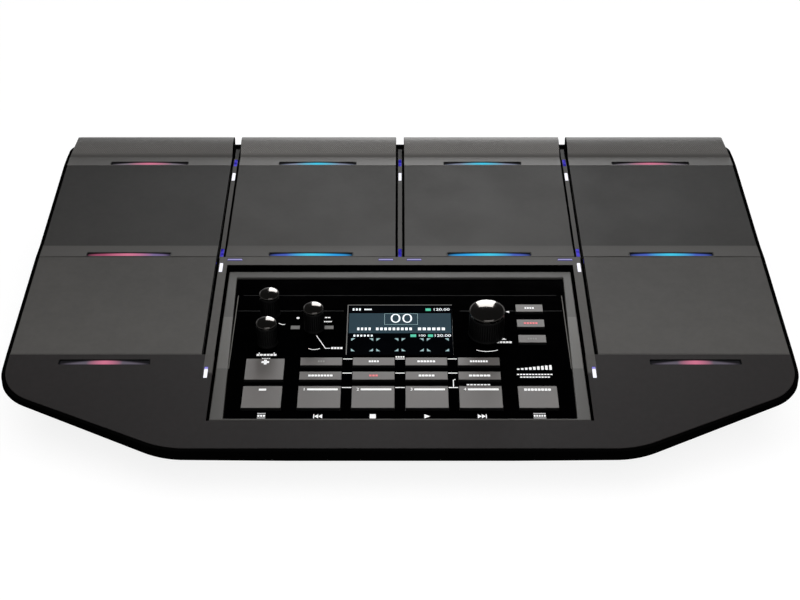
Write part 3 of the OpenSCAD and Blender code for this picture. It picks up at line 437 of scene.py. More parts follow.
def dotted_rubber(tone):
    """Rubber of the bar pads: rows of fine raised dots between a smooth front edge and a smooth ridge, with
    painted light and shade: dots paler than the gaps between them, the bar paler at its front than at its
    ridge, the ledge in a lit tone of its own, a dark line along the bar's foot, darker outer bars and black
    flanks along the channels.
    """
    finish = Finish("bar_rubber", Specular_IOR_Level=0.25)
    low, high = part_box("bar_pad_2")
    pitch = 1.45 * MM
    x, y, _ = finish.axes()
    dots = (x * (2 * math.pi / pitch)).sine() * (y * (2 * math.pi / pitch)).sine()
    front = low.y + 12.5 * MM
    back = high.y - 8.5 * MM
    field = y.step(front, front + 0.6 * MM) * (1 - y.step(back, back + 1.2 * MM))
    raised = dots.step(-0.2, 0.7) * field
    slow = finish.noise(50 * MM, 3)
    grain = finish.noise(0.5 * MM)
    ledge = 1 - y.step(BAR_Y - 1.2 * MM, BAR_Y)
    foot = y.within(BAR_Y, BAR_Y + 1.6 * MM, 0.8 * MM)
    # Painted light: raised dots paler than the gaps, and the bar paler at its front than towards its ridge
    lit = slow * 0.25 + grain * 0.15 + raised * 0.6
    ridge_shade = y.step(front - 1 * MM, high.y)
    plain = finish.blend(ridge_shade, finish.blend(lit, shade(tone, 0.85), shade(tone, 1.75)),
                         finish.blend(lit, shade(tone, 0.46), shade(tone, 0.62)))
    # Painted light on the ledge; painted shade along the bar's foot, on the outer bars and on the flanks
    pale = finish.blend(slow * 0.5 + grain * 0.5, shade(tone, 0.56), shade(tone, 0.73))
    outer = x.size().step(COLUMNS[2][1], COLUMNS[3][0])
    face = finish.blend(foot * 0.5, finish.blend(ledge, plain, pale), shade(tone, 0.3))
    finish.feed("Base Color", finish.blend(outer * 0.25, face, SHADE_BLACK))
    finish.cover(flanks(x.size()), finish.blend(grain, SHADE_BLACK, SHADE_DARK))
    finish.feed("Roughness", grain * 0.12 + 0.5)
    finish.bump(raised + grain * 0.25, 0.6, 0.25 * MM)
    return finish


def gloss_black(name, tone, rough, level):
    """Polished black plastic with faint wipe marks in its gloss."""
    finish = Finish(name, Specular_IOR_Level=level)
    wipe = finish.noise(14 * MM, 4, (1, 3, 1))
    fine = finish.noise(1.2 * MM)
    finish.feed("Base Color", finish.blend(wipe, shade(tone, 0.7), shade(tone, 1.4)))
    finish.feed("Roughness", wipe * 0.08 + fine * 0.03 + rough)
    return finish


def satin_bezel(tone):
    """Satin grey of the bezel, with a painted highlight on a stretch along the side bars, which is also a
    little glossier there.
    """
    finish = Finish("bezel_satin", Specular_IOR_Level=0.28)
    _, y, _ = finish.axes()
    front = (PANEL @ (Vector((0, 40.6, 0)) * MM)).y
    back = (PANEL @ (Vector((0, 85.6, 0)) * MM)).y
    # Painted highlight: a paler stretch along the side bars
    highlight_stretch = y.step(front, front + 0.8 * MM) * (1 - y.step(back - 0.8 * MM, back))
    brushed = finish.noise(0.6 * MM, 3, (1, 0.12, 1))
    slow = finish.noise(40 * MM)
    plain = finish.blend(slow * 0.6 + brushed * 0.4, shade(tone, 0.85), shade(tone, 1.15))
    pale = finish.blend(brushed, shade(tone, 1.5), shade(tone, 1.8))
    finish.feed("Base Color", finish.blend(highlight_stretch, plain, pale))
    finish.feed("Roughness", brushed * 0.12 + (0.42 - highlight_stretch * 0.06))
    finish.bump(brushed, 0.15, 0.05 * MM)
    return finish


def key_plastic(tone):
    """Warm grey key caps, a little cloudy, with painted shade: their sides are black."""
    finish = Finish("key_plastic", Specular_IOR_Level=0.4)
    cloud = finish.noise(11 * MM, 2)
    fine = finish.noise(0.35 * MM)
    warm = shade((tone[0] * 1.08, tone[1], tone[2] * 0.98))
    _, y, z = finish.axes()
    top = top_face("plus_key")[1].z * MM
    # Painted shade: below its top face the key is black
    cap = panel_height(y, z).step(top - 0.34 * MM, top - 0.12 * MM)
    face = finish.blend(cloud * 0.7 + fine * 0.3, shade(tone, 0.93), warm)
    finish.feed("Base Color", finish.blend(cap, (0.004, 0.004, 0.004, 1), face))
    finish.feed("Roughness", fine * 0.12 + 0.42)
    finish.bump(fine, 0.2, 0.05 * MM)
    return finish


def machined(name, tone, rough, stretch=(1, 6, 1)):
    """Plated or turned metal with fine lines."""
    finish = Finish(name, Metallic=1.0)
    lines = finish.noise(0.5 * MM, 3, stretch)
    finish.feed("Base Color", finish.blend(lines, shade(tone, 0.85), shade(tone, 1.1)))
    finish.feed("Roughness", lines * 0.15 + rough)
    finish.bump(lines, 0.12, 0.05 * MM)
    return finish


def circuit_green():
    """Solder mask over rows of copper tracks."""
    finish = Finish("board_green", Coat_Weight=0.3)
    x, y, _ = finish.axes()
    tracks = (x * (2 * math.pi / (2.4 * MM))).sine().step(0.6, 0.8) * finish.noise(9 * MM).step(0.45, 0.55)
    across = (y * (2 * math.pi / (3.1 * MM))).sine().step(0.7, 0.9) * finish.noise(13 * MM).step(0.5, 0.6)
    finish.feed("Base Color", finish.blend(tracks + across, (0.008, 0.07, 0.025, 1), (0.03, 0.16, 0.06, 1)))
    finish.feed("Roughness", tracks * -0.1 + 0.4)
    finish.bump(tracks + across, 0.3, 0.05 * MM)
    return finish


def lens_glow():
    """Frosted lenses of the light slots, lit in the colour that is stored on their points."""
    finish = Finish("light_lens", Emission_Strength=1.0, Roughness=0.35, Specular_IOR_Level=0.0)
    under = (0.012, 0.012, 0.014)
    finish.feed("Base Color", finish.blend(finish.noise(0.6 * MM), shade(under), shade(under, 1.4)))
    glow = finish.node("ShaderNodeAttribute", {"attribute_name": "glow"}, output="Color")
    finish.feed("Emission Color", glow)
    return finish


def lit_rod(name, near, far, strength):
    """A frosted light rod: its colour drifts between two tones."""
    finish = Finish(name, Emission_Strength=strength, Roughness=0.4, Specular_IOR_Level=0.0)
    drift = finish.noise(4 * MM, 1)
    finish.feed("Base Color", finish.blend(drift, shade(near, 0.1), shade(far, 0.1)))
    finish.feed("Emission Color", finish.blend(drift.step(0.35, 0.65), near, far))
    return finish


def rod_white():
    """Frosted light rods: white in the channels, a thin pale line in violet behind the control panel."""
    finish = Finish("rod_white", Emission_Strength=1.1, Roughness=0.4, Specular_IOR_Level=0.0)
    _, y, _ = finish.axes()
    flat = y.within(CROSS_ROD_Y - 1.2 * MM, CROSS_ROD_Y + 1.2 * MM)
    core = y.within(CROSS_ROD_Y - 0.3 * MM, CROSS_ROD_Y + 0.5 * MM, 0.25 * MM)
    drift = finish.noise(5 * MM, 1)
    white = finish.blend(drift, (0.98, 0.98, 1.0, 1), (0.86, 0.85, 1.0, 1))
    violet = finish.blend(core, (0.03, 0.025, 0.2, 1), (0.34, 0.32, 0.55, 1))
    tip = y.within(LOWER_Y - 11.6 * MM, LOWER_Y - 9 * MM, 0.5 * MM)
    colour = finish.blend(flat, finish.blend(tip, white, (0.2, 0.18, 0.6, 1)), violet)
    finish.feed("Base Color", finish.blend(drift, (0.05, 0.05, 0.06, 1), (0.07, 0.07, 0.09, 1)))
    finish.feed("Emission Color", colour)
    return finish


def ink(name, tone, glow=0.0):
    """Printed or lit marks, and painted highlights along edges, a little uneven as screen printing is."""
    finish = Finish(name, Emission_Strength=glow, Specular_IOR_Level=0.04)
    fine = finish.noise(0.4 * MM)
    colour = finish.blend(fine, shade(tone, 0.9), shade(tone, 1.05))
    finish.feed("Base Color", colour)
    finish.feed("Roughness", fine * 0.15 + 0.45)
    if glow:
        finish.feed("Emission Color", colour)
    return finish


FINISHES = {
    "apron": deck_plastic((0.0166, 0.0143, 0.0144), (0.087, 0.083, 0.0785), (0.052, 0.0495, 0.0465)),
    "rim": shell_black(),
    "pad": pad_rubber((0.05, 0.0478, 0.045)),
    "bar": dotted_rubber((0.148, 0.142, 0.135)),
    "foot": moulded("foot_rubber", (0.018, 0.018, 0.018), 0.75, 0.6 * MM, 0.12 * MM),
    "bezel": satin_bezel((0.062, 0.0597, 0.0555)),
    "panel": gloss_black("panel_gloss", (0.0003, 0.0003, 0.0004), 0.03, 0.005),
    "screen": gloss_black("display_glass", (0.0008, 0.0012, 0.002), 0.03, 0.008),
    "key": key_plastic((0.132, 0.1275, 0.1235)),
    "knob_side": moulded("knob_side", (0.0012, 0.0012, 0.0013), 0.42, 0.5 * MM, 0.05 * MM,
                         Specular_IOR_Level=0.08),
    "knob_top": machined("knob_top", (0.074, 0.07, 0.066), 0.02, (1, 1, 1)),
    "rear": rear_plastic(),
    "socket": moulded("socket_black", (0.012, 0.012, 0.013), 0.45, 0.5 * MM, 0.05 * MM),
    "button": moulded("button_black", (0.018, 0.018, 0.019), 0.4, 0.5 * MM, 0.05 * MM),
    "nickel": machined("nickel_plate", (0.62, 0.6, 0.57), 0.22),
    "steel": machined("screw_steel", (0.42, 0.42, 0.43), 0.3),
    "alloy": machined("pressed_alloy", (0.6, 0.6, 0.62), 0.35),
    "brass": machined("sensor_brass", (0.72, 0.52, 0.22), 0.3),
    "board": circuit_green(),
    "plunger": moulded("plunger_white", (0.55, 0.55, 0.54), 0.5, 0.6 * MM, 0.05 * MM),
    "lens": lens_glow(),
    "rod_white": rod_white(),
    "rod_blue": lit_rod("rod_blue", (0.016, 0.013, 0.3, 1), (0.09, 0.075, 0.6, 1), 0.9),
    # Painted light: the glow of the rods on the pad flanks
    "rod_glow": lit_rod("rod_glow", (0.03, 0.025, 0.34, 1), (0.06, 0.05, 0.45, 1), 0.7),
    "white": ink("print_white", (0.85, 0.85, 0.85), 0.45),
    "grey": ink("print_grey", (0.24, 0.235, 0.23)),
    "dim": ink("print_dim", (0.3, 0.3, 0.29)),
    "faint": ink("print_faint", (0.0027, 0.0027, 0.003)),
    "red": ink("print_red", (0.85, 0.22, 0.24), 0.25),
    "lit": ink("display_white", (0.82, 0.87, 0.9), 0.65),
    "teal": ink("display_teal", (0.005, 0.022, 0.033), 0.8),
    # Painted highlight along the panel's side edges
    "line": ink("edge_line", (0.14, 0.135, 0.125)),
    "green": ink("display_green", (0.07, 0.46, 0.31), 0.6),
    "mint": ink("display_mint", (0.28, 0.42, 0.44), 0.5),
}
FINISH = {name: made.material for name, made in FINISHES.items()}


# Solids that keep their shape: welded, given rounded edges and a finish
def shading_tree(limit=math.radians(38)):
    """Geometry Nodes that shade a mesh smooth, apart from its sharp edges."""
    shaper = Shaper("smooth_shading")
    inputs = {"Geometry": shaper.entry("Geometry")}
    faces = shaper.node("GeometryNodeSetShadeSmooth", {"domain": "FACE"}, inputs)
    angle = shaper.node("GeometryNodeInputMeshEdgeAngle")
    sharp = shaper.node("FunctionNodeCompare", {"operation": "GREATER_THAN"}, {0: angle, 1: limit})
    inputs = {"Geometry": faces, "Selection": sharp, "Shade Smooth": False}
    shaper.close(shaper.node("GeometryNodeSetShadeSmooth", {"domain": "EDGE"}, inputs))
    return shaper.tree


SHADING = shading_tree()


def shade_by_angle(obj):
    obj.modifiers.new("smooth_shading", "NODES").node_group = SHADING
    weighted = obj.modifiers.new("even_normals", "WEIGHTED_NORMAL")
    weighted.keep_sharp = True


def round_edges(obj, width, segments=2, angle=25):
    bevel = obj.modifiers.new("rounded_edges", "BEVEL")
    bevel.width = width
    bevel.segments = segments
    bevel.limit_method = "ANGLE"
    bevel.angle_limit = math.radians(angle)
    bevel.use_clamp_overlap = True
    bevel.miter_outer = "MITER_ARC"


def dress(node, finish, edge=0.3 * MM, segments=2):
    """Gives a solid rounded edges and its finish."""
    obj = NODES[node]
    obj.modifiers.new("weld", "WELD").merge_threshold = 0.002 * MM
    if edge:
        round_edges(obj, edge, segments)
    shade_by_angle(obj)
    for slot in obj.material_slots:
        slot.material = FINISH[finish]
    if not obj.material_slots:
        obj.data.materials.append(FINISH[finish])


KEYS = [name for name in NODES if "_key" in name]
for i in range(1, 5):
    dress(f"upper_pad_{i}", "pad", 0.5 * MM, 3)
    dress(f"bar_pad_{i}", "bar", 0.6 * MM, 3)
dress("lower_pad_left", "pad", 0.5 * MM, 3)
dress("lower_pad_right", "pad", 0.5 * MM, 3)
dress("top_case", "apron", 0.4 * MM, 3)
dress("bottom_case", "rim", 0.6 * MM, 3)
dress("rubber_feet", "foot", 0.8 * MM, 3)
dress("panel_bezel", "bezel", 0.5 * MM, 3)
dress("control_panel", "panel", 0.2 * MM)
dress("display_lens", "screen", 0.15 * MM)
dress("rear_panel", "rear", 0.15 * MM)
dress("jack_sockets", "socket", 0.25 * MM)
dress("jack_nuts", "nickel", 0.25 * MM)
dress("dc_inlet", "socket", 0.2 * MM)
dress("usb_socket", "alloy", 0.25 * MM)
dress("power_button", "button", 0.6 * MM, 3)
dress("case_screws", "steel", 0.2 * MM)
dress("board_screws", "steel", 0)
dress("white_light_rods", "rod_white", 0.25 * MM)
dress("blue_light_rods", "rod_blue", 0.25 * MM)
for key in KEYS:
    dress(key, "key", 0.35 * MM, 3)
for node, finish in (
    ("pad_sensors", "brass"), ("light_boards", "board"), ("control_board", "board"), ("main_board", "board"),
    ("display_module", "alloy"), ("tact_switches", "socket"), ("level_pots", "alloy"),
    ("dial_encoder", "alloy"), ("dial_spindle", "steel"), ("dial_plunger", "plunger"),
):
    dress(node, finish, 0)


# New pieces
def piece(name, mesh, body, slot, *finishes):
    obj = new_object(name, mesh)
    for finish in finishes:
        mesh.materials.append(FINISH[finish])
    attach(obj, body)
    return obj


def to_mesh(name, shape, place=None):
    mesh = bpy.data.meshes.new(name)
    bmesh.ops.recalc_face_normals(shape, faces=shape.faces)
    shape.to_mesh(mesh)
    shape.free()
    if place:
        mesh.transform(place)
    return mesh


# Light lenses: crowned strips whose glow fades from the middle to the ends
PINK = (0.62, 0.17, 0.27)
ROSE = (0.36, 0.07, 0.14)
LILAC = (0.20, 0.17, 0.21)
ASH = (0.11, 0.095, 0.125)
VIOLET = (0.19, 0.14, 0.30)
CYAN = (0.05, 0.56, 0.78)
SKY = (0.02, 0.34, 0.78)
INDIGO = (0.06, 0.11, 0.50)
HAZE = (0.22, 0.25, 0.36)
SLOT_L = 50.0
SLOT_W = 4.3
LINER = 0.3
LINER_GAP = 0.02
LINER_RISE = 1.4
LENS_RISE = 0.6
LENS_CROWN = 0.35
LENS_STEPS = 40
# How far the painted shadow of the slot's back wall reaches forward over the lens at its ends
SLOT_SHADOW_REACH = {"bar": 0.6, "ledge": 0.3, "apron": 0.8}
# How soon the tone of the middle gives way to that of the ends
LENS_SPREAD = {"bar": 1.7, "ledge": 1.7, "apron": 2.5}
LENS_ROWS = 8
# Middle, left end and right end of each row, from the left column to the right one
GLOW = {
    "bar": [(PINK, LILAC, LILAC), (CYAN, HAZE, HAZE), (CYAN, HAZE, HAZE), (PINK, LILAC, LILAC)],
    "ledge": [(PINK, ROSE, VIOLET), (CYAN, INDIGO, SKY), (CYAN, SKY, INDIGO), (CYAN, INDIGO, INDIGO)],
    "apron": [(PINK, ASH, ASH), None, None, (PINK, ASH, ASH)],
}


def lens_groups():
    """Points of the ten lenses' solids, sorted by row and column."""
    groups = {}
    middles = [(a + b) / 2 for a, b in COLUMNS]
    for vertex in NODES["pad_light_lenses"].data.vertices:
        row = "bar" if vertex.co.y > BAR_LEDGE_Y else "ledge" if vertex.co.y > LEDGE_Y else "apron"
        column = min(range(4), key=lambda i: abs(middles[i] - vertex.co.x))
        groups.setdefault((row, column), []).append(vertex.co)
    return groups


def lens_colour(row, column, across, back):
    """Colour at a place on a lens: the middle's tone, then the end's, then dark at the tip, with a painted
    shadow of the slot's back wall over its back part, deeper towards the ends.
    """
    middle, left, right = GLOW[row][column]
    end = left if across < 0 else right
    away = abs(across)
    share = min(1.0, away * LENS_SPREAD[row]) ** 1.4
    # Painted shadow: the back of the lens goes dark, further forward towards the ends
    reach = 1.1 - SLOT_SHADOW_REACH[row] * away ** 1.3
    power = (1 - away ** 7) * min(1.0, max(0.0, (reach - back) * 3 + 0.3))
    return [power * (m * (1 - share) + e * share) for m, e in zip(middle, end)] + [1.0]


def light_lenses():
    shape = bmesh.new()
    liners = bmesh.new()
    half_l = (SLOT_L / 2 - LINER) * MM
    lens_w = (SLOT_W - 2 * LINER) * MM
    glow_layer = shape.verts.layers.float_color.new("glow")
    for (row, column), points in lens_groups().items():
        slope = APRON_SLOPE if row == "apron" else LEDGE_SLOPE
        square = Vector((0, -math.sin(slope), math.cos(slope)))
        along = Vector((0, square.z, -square.y))
        middle = sum(points, Vector()) / len(points)
        level = middle.dot(square)
        top = max(point.dot(square) for point in points) - level
        bottom = min(point.dot(square) for point in points) - level
        base = middle + square * (top + LENS_RISE * MM)
        slot_liner(liners, middle, along, square, top + LINER_RISE * MM, bottom)
        grid = []
        for i in range(LENS_STEPS + 1):
            across = 2 * i / LENS_STEPS - 1
            line = []
            for k in range(LENS_ROWS + 1):
                back = k / LENS_ROWS
                crown = LENS_CROWN * MM * (1 - across ** 2) * (1 - 0.3 * (2 * back - 1) ** 2)
                spot = base + Vector((across * half_l, 0, 0)) + along * (back - 0.5) * lens_w
                vert = shape.verts.new(spot + square * crown)
                vert[glow_layer] = lens_colour(row, column, across, back)
                line.append(vert)
            grid.append(line)
        for i in range(LENS_STEPS):
            for k in range(LENS_ROWS):
                shape.faces.new((grid[i][k], grid[i + 1][k], grid[i + 1][k + 1], grid[i][k + 1]))
        close_below(shape, grid, square * (bottom - top), glow_layer)
    mesh = to_mesh("light_lenses", shape)
    mesh.shade_smooth()
    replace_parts(piece("light_lenses", mesh, "case", "light_lens", "lens"), "pad_light_lenses")
    piece("slot_liners", to_mesh("slot_liners", liners), "case", "case_black", "rim")


def slot_liner(shape, middle, along, square, top, bottom):
    """A thin black wall round the inside of a slot: a sheet of painted shade over the slot's walls."""
    corners = [(-1, -1), (1, -1), (1, 1), (-1, 1)]
    outer, inner = LINER_GAP, LINER - LINER_GAP
    rings = []
    for inset, level in ((outer, top), (inner, top), (inner, bottom), (outer, bottom)):
        base = middle + square * level
        half_l = (SLOT_L / 2 - inset) * MM
        half_w = (SLOT_W / 2 - inset) * MM
        spots = [base + Vector((x * half_l, 0, 0)) + along * (v * half_w) for x, v in corners]
        rings.append([shape.verts.new(spot) for spot in spots])
    for ring, following in zip(rings, rings[1:] + rings[:1]):
        for i in range(4):
            j = (i + 1) % 4
            shape.faces.new((ring[i], ring[j], following[j], following[i]))


def close_below(shape, grid, floor, glow_layer):
    """Closes a grid of points into a solid block down to its floor."""
    back = [line[-1] for line in grid[:-1]]
    front = [line[0] for line in grid[:0:-1]]
    rim = grid[0][:-1] + back + grid[-1][:0:-1] + front
    low = [shape.verts.new(vert.co + floor) for vert in rim]
    for vert in low:
        vert[glow_layer] = (0.0, 0.0, 0.0, 1.0)
    for i, vert in enumerate(rim):
        j = (i + 1) % len(rim)
        shape.faces.new((vert, rim[j], low[j], low[i]))
    shape.faces.new(low)


light_lenses()


# Knobs: turned shells with ribs set round them, in millimetres
KNOB_FOOT = -0.3
KNOB_ROOT = -1.0
KNOB_SHARE = 0.94
SPINDLE_R = 2.95
DOME_BEND = 2.7
DOME_STEPS = 12
BRIM_R = 0.5
BRIM_STEPS = 7
RIB_SIDES = 6
RIB_TAPER = 0.8
RIB_INSET = 0.5
RIB_W = 0.42
RIB_FOOT = 1.7
RIB_CLEAR = 2.9
# Radius, height of the polished cap, count of ribs
SMALL_KNOB = (5.75, 2.6, 26)
LARGE_KNOB = (10.0, 4.2, 44)


def ribs_shaper():
    """Geometry Nodes that set upright ribs round a circle."""
    sizes = dict.fromkeys(("Radius", "Width", "Height", "Foot"), "Float")
    shaper = Shaper("knob_ribs", Count="Int", **sizes, Finish="Material")
    inputs = {"Vertices": shaper.entry("Count"), "Radius": shaper.entry("Radius")}
    ring = shaper.node("GeometryNodeMeshCircle", inputs=inputs)
    lift = shaper.node("ShaderNodeCombineXYZ", inputs={"Z": shaper.entry("Foot")})
    raised = shaper.node("GeometryNodeTransform", inputs={"Geometry": ring, "Translation": lift})
    width = shaper.entry("Width")
    inputs = {"Vertices": RIB_SIDES, "Radius Bottom": width, "Radius Top": width * RIB_TAPER,
              "Depth": shaper.entry("Height")}
    shaper.repeat(raised, shaper.node("GeometryNodeMeshCone", inputs=inputs))
    return shaper


RIBS = ribs_shaper()


def lathe(name, profile, place, steps=72):
    """A closed turned shape: profile holds (radius, height, finish of the band that follows)."""
    shape = bmesh.new()
    turns = [2 * math.pi * i / steps for i in range(steps)]
    rings = []
    for radius, height, _ in profile:
        reach, level = radius * MM, height * MM
        spots = [(reach * math.cos(turn), reach * math.sin(turn), level) for turn in turns]
        rings.append([shape.verts.new(spot) for spot in (spots if radius else [(0, 0, level)])])
    for lower, upper, (_, _, finish) in zip(rings, rings[1:], profile):
        for i in range(steps):
            j = (i + 1) % steps
            below = [lower[k % len(lower)] for k in (i, j)]
            above = [upper[k % len(upper)] for k in (j, i)]
            face = shape.faces.new(list(dict.fromkeys(below + above)))
            face.material_index = finish
            face.smooth = True
    return to_mesh(name, shape, place)


def knob_profile(radius, height, cap):
    """Side view of a knob: skirt, waist, groove, and a low polished dome over a round brim."""
    waist = radius - 0.55
    groove = waist - 0.4
    brim = radius - 0.15
    neck = height - cap
    profile = [
        (0, KNOB_ROOT, 0), (SPINDLE_R, KNOB_ROOT, 0), (SPINDLE_R, 0, 0), (radius - 0.3, 0, 0),
        (radius, 0.3, 0), (radius, 1.0, 0), (waist, 1.5, 0), (waist - 0.1, neck - 0.7, 0),
        (groove, neck - 0.5, 0), (groove, neck - 0.2, 1), (brim - 0.25, neck, 1), (brim, neck + 0.3, 1),
    ]
    bend = DOME_BEND * brim
    shoulder = height - bend + math.sqrt(bend ** 2 - brim ** 2)
    for i in range(1, BRIM_STEPS):
        turn = math.pi / 2 * i / BRIM_STEPS
        inset = BRIM_R * (1 - math.cos(turn))
        drop = BRIM_R * (1 - math.sin(turn))
        profile.append((brim - inset, shoulder - drop, 1))
    for i in range(DOME_STEPS + 1):
        reach = (brim - BRIM_R) * (1 - i / DOME_STEPS)
        profile.append((reach, height - bend + math.sqrt(bend ** 2 - reach ** 2), 1))
    return profile


def knob(node, joint, body, radius, cap, count):
    """Sets a turned shell in the place of a knob's solid, and ribs round its waist."""
    x, v = joint_place(joint)
    height = (max(point.z for point in panel_points(node)) - KNOB_FOOT) * KNOB_SHARE
    place = on_panel(x, v, KNOB_FOOT)
    turned = lathe(f"{node}_shell", knob_profile(radius, height, cap), place)
    shell = piece(f"{node}_shell", turned, body, "knob_black", "knob_side", "knob_top")
    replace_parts(shell, node)
    name = f"{node}_ribs"
    ribs = RIBS.plain_mesh(
        name, bpy.data.meshes.new(name), place, Count=count, Radius=(radius - RIB_INSET) * MM,
        Width=RIB_W * MM, Height=(height - cap - RIB_CLEAR) * MM, Foot=RIB_FOOT * MM,
        Finish=FINISH["knob_side"])
    piece(name, ribs, body, "knob_black")


for node in ("upper_level_knob", "lower_level_knob", "effect_knob"):
    knob(node, f"{node}_turn", node, *SMALL_KNOB)
knob("main_dial", "dial_turn", "dial", *LARGE_KNOB)


# Marks: thin flat shapes printed on the panel and the keys, in millimetres
LINE_W = 0.45
SIGN_W = 1.5
DASH_H = 1.5
SMALL_DASH_H = 0.9
SMALL_GAP = 0.3
WIDE_GAP = 0.4


class Marks:
    """Flat marks drawn on the panel, in millimetres, at a height over the bezel's plane."""

    thickness = 0.04

    def __init__(self, height):
        self.shape = bmesh.new()
        self.low = height + 0.01
        self.high = self.low + self.thickness

    def polygon(self, points):
        low = [self.shape.verts.new((x * MM, v * MM, self.low * MM)) for x, v in points]
        high = [self.shape.verts.new((x * MM, v * MM, self.high * MM)) for x, v in points]
        self.shape.faces.new(high)
        self.shape.faces.new(low[::-1])
        for i in range(len(points)):
            j = (i + 1) % len(points)
            self.shape.faces.new((low[i], low[j], high[j], high[i]))

    def bar(self, x, v, width, length):
        w, h = width / 2, length / 2
        self.polygon([(x - w, v - h), (x + w, v - h), (x + w, v + h), (x - w, v + h)])

    def dashes(self, x, v, width, length, count, gap=0.35):
        """A row of short upright bars."""
        pitch = width / count
        for i in range(count):
            self.bar(x - width / 2 + pitch * (i + 0.5), v, pitch - gap, length)

    def line(self, a, b, width):
        a, b = Vector(a), Vector(b)
        side = (b - a).normalized()
        side = Vector((-side.y, side.x)) * width / 2
        self.polygon([a - side, b - side, b + side, a + side])

    def arc(self, x, v, radius, start, stop, width, steps=18):
        inner, outer = radius - width / 2, radius + width / 2
        turns = [math.radians(start + (stop - start) * i / steps) for i in range(steps + 1)]
        for a, b in zip(turns, turns[1:]):
            corners = ((inner, a), (outer, a), (outer, b), (inner, b))
            spots = [(x + reach * math.cos(turn), v + reach * math.sin(turn)) for reach, turn in corners]
            self.polygon(spots)

    def arrow(self, x, v, width, length, way=1):
        """A solid triangle that points along x, or against it where way is -1."""
        back, tip = x - way * width / 2, x + way * width / 2
        self.polygon([(back, v - length / 2), (tip, v), (back, v + length / 2)][::way])

    def frame(self, x, v, width, length, line):
        self.bar(x, v - length / 2, width + line, line)
        self.bar(x, v + length / 2, width + line, line)
        self.bar(x - width / 2, v, line, length - line)
        self.bar(x + width / 2, v, line, length - line)

    def digits(self, text, x, v, size, stretch=1.0, slim=0.0):
        """Plain digits, centred on a place."""
        curve = bpy.data.curves.new("digits", "FONT")
        curve.body = text
        curve.size = size * MM
        curve.offset = -slim * size * MM
        curve.align_x = "CENTER"
        curve.align_y = "CENTER"
        curve.extrude = self.thickness / 2 * MM
        mesh = evaluated_mesh(new_object("digits", curve))
        middle = (self.low + self.high) / 2
        mesh.transform(Matrix.Translation(Vector((x, v, middle)) * MM) @ Matrix.Diagonal((stretch, 1, 1, 1)))
        self.shape.from_mesh(mesh)
        bpy.data.meshes.remove(mesh)

    def finish(self, name, body, slot, finish):
        return piece(name, to_mesh(name, self.shape, PANEL), body, slot, finish)


def key_marks():
    """Marks on the keys: digits and light bars on the track keys, signs and dash rows on the others."""
    for i in range(1, 5):
        low, high = top_face(f"track_key_{i}")
        x, v = (low.x + high.x) / 2, high.y - 2.6
        marks = Marks(high.z)
        marks.digits(str(i), x - 8.2, v, 3.0)
        marks.bar(x + 1.5, v, 16.4, 1.4)
        marks.finish(f"track_key_{i}_marks", f"track_key_{i}", "key_grey", "white")
    # Width, count of dashes and finish
    dash_rows = {
        "loop_key_1": (13.4, 8, "white"), "loop_key_2": (5.0, 3, "red"), "loop_key_3": (8.8, 5, "white"),
        "loop_key_4": (11.8, 6, "white"), "mode_key_1": (4.0, 3, "dim"), "mode_key_2": (5.8, 4, "white"),
        "mode_key_3": (10.0, 6, "white"), "mode_key_4": (10.0, 7, "white"), "menu_key_1": (5.6, 4, "white"),
        "menu_key_2": (8.0, 5, "red"), "menu_key_3": (5.4, 4, "dim"),
    }
    for key, (width, count, finish) in dash_rows.items():
        low, high = top_face(key)
        marks = Marks(high.z)
        marks.dashes((low.x + high.x) / 2, (low.y + high.y) / 2, width, DASH_H, count)
        marks.finish(f"{key}_marks", key, "key_grey", finish)
    signs = {"plus_key": 4.2, "minus_key": 3.9, "shift_key": 14.6}
    for key, width in signs.items():
        low, high = top_face(key)
        marks = Marks(high.z)
        x, v = (low.x + high.x) / 2, high.y - 2.8
        if key == "shift_key":
            marks.dashes(x, v, width, 1.7, 8)
        else:
            marks.bar(x, v, width, SIGN_W)
        if key == "plus_key":
            marks.bar(x, v + 1.35, SIGN_W, 1.2)
            marks.bar(x, v - 1.35, SIGN_W, 1.2)
        marks.finish(f"{key}_marks", key, "key_grey", "white")


key_marks()


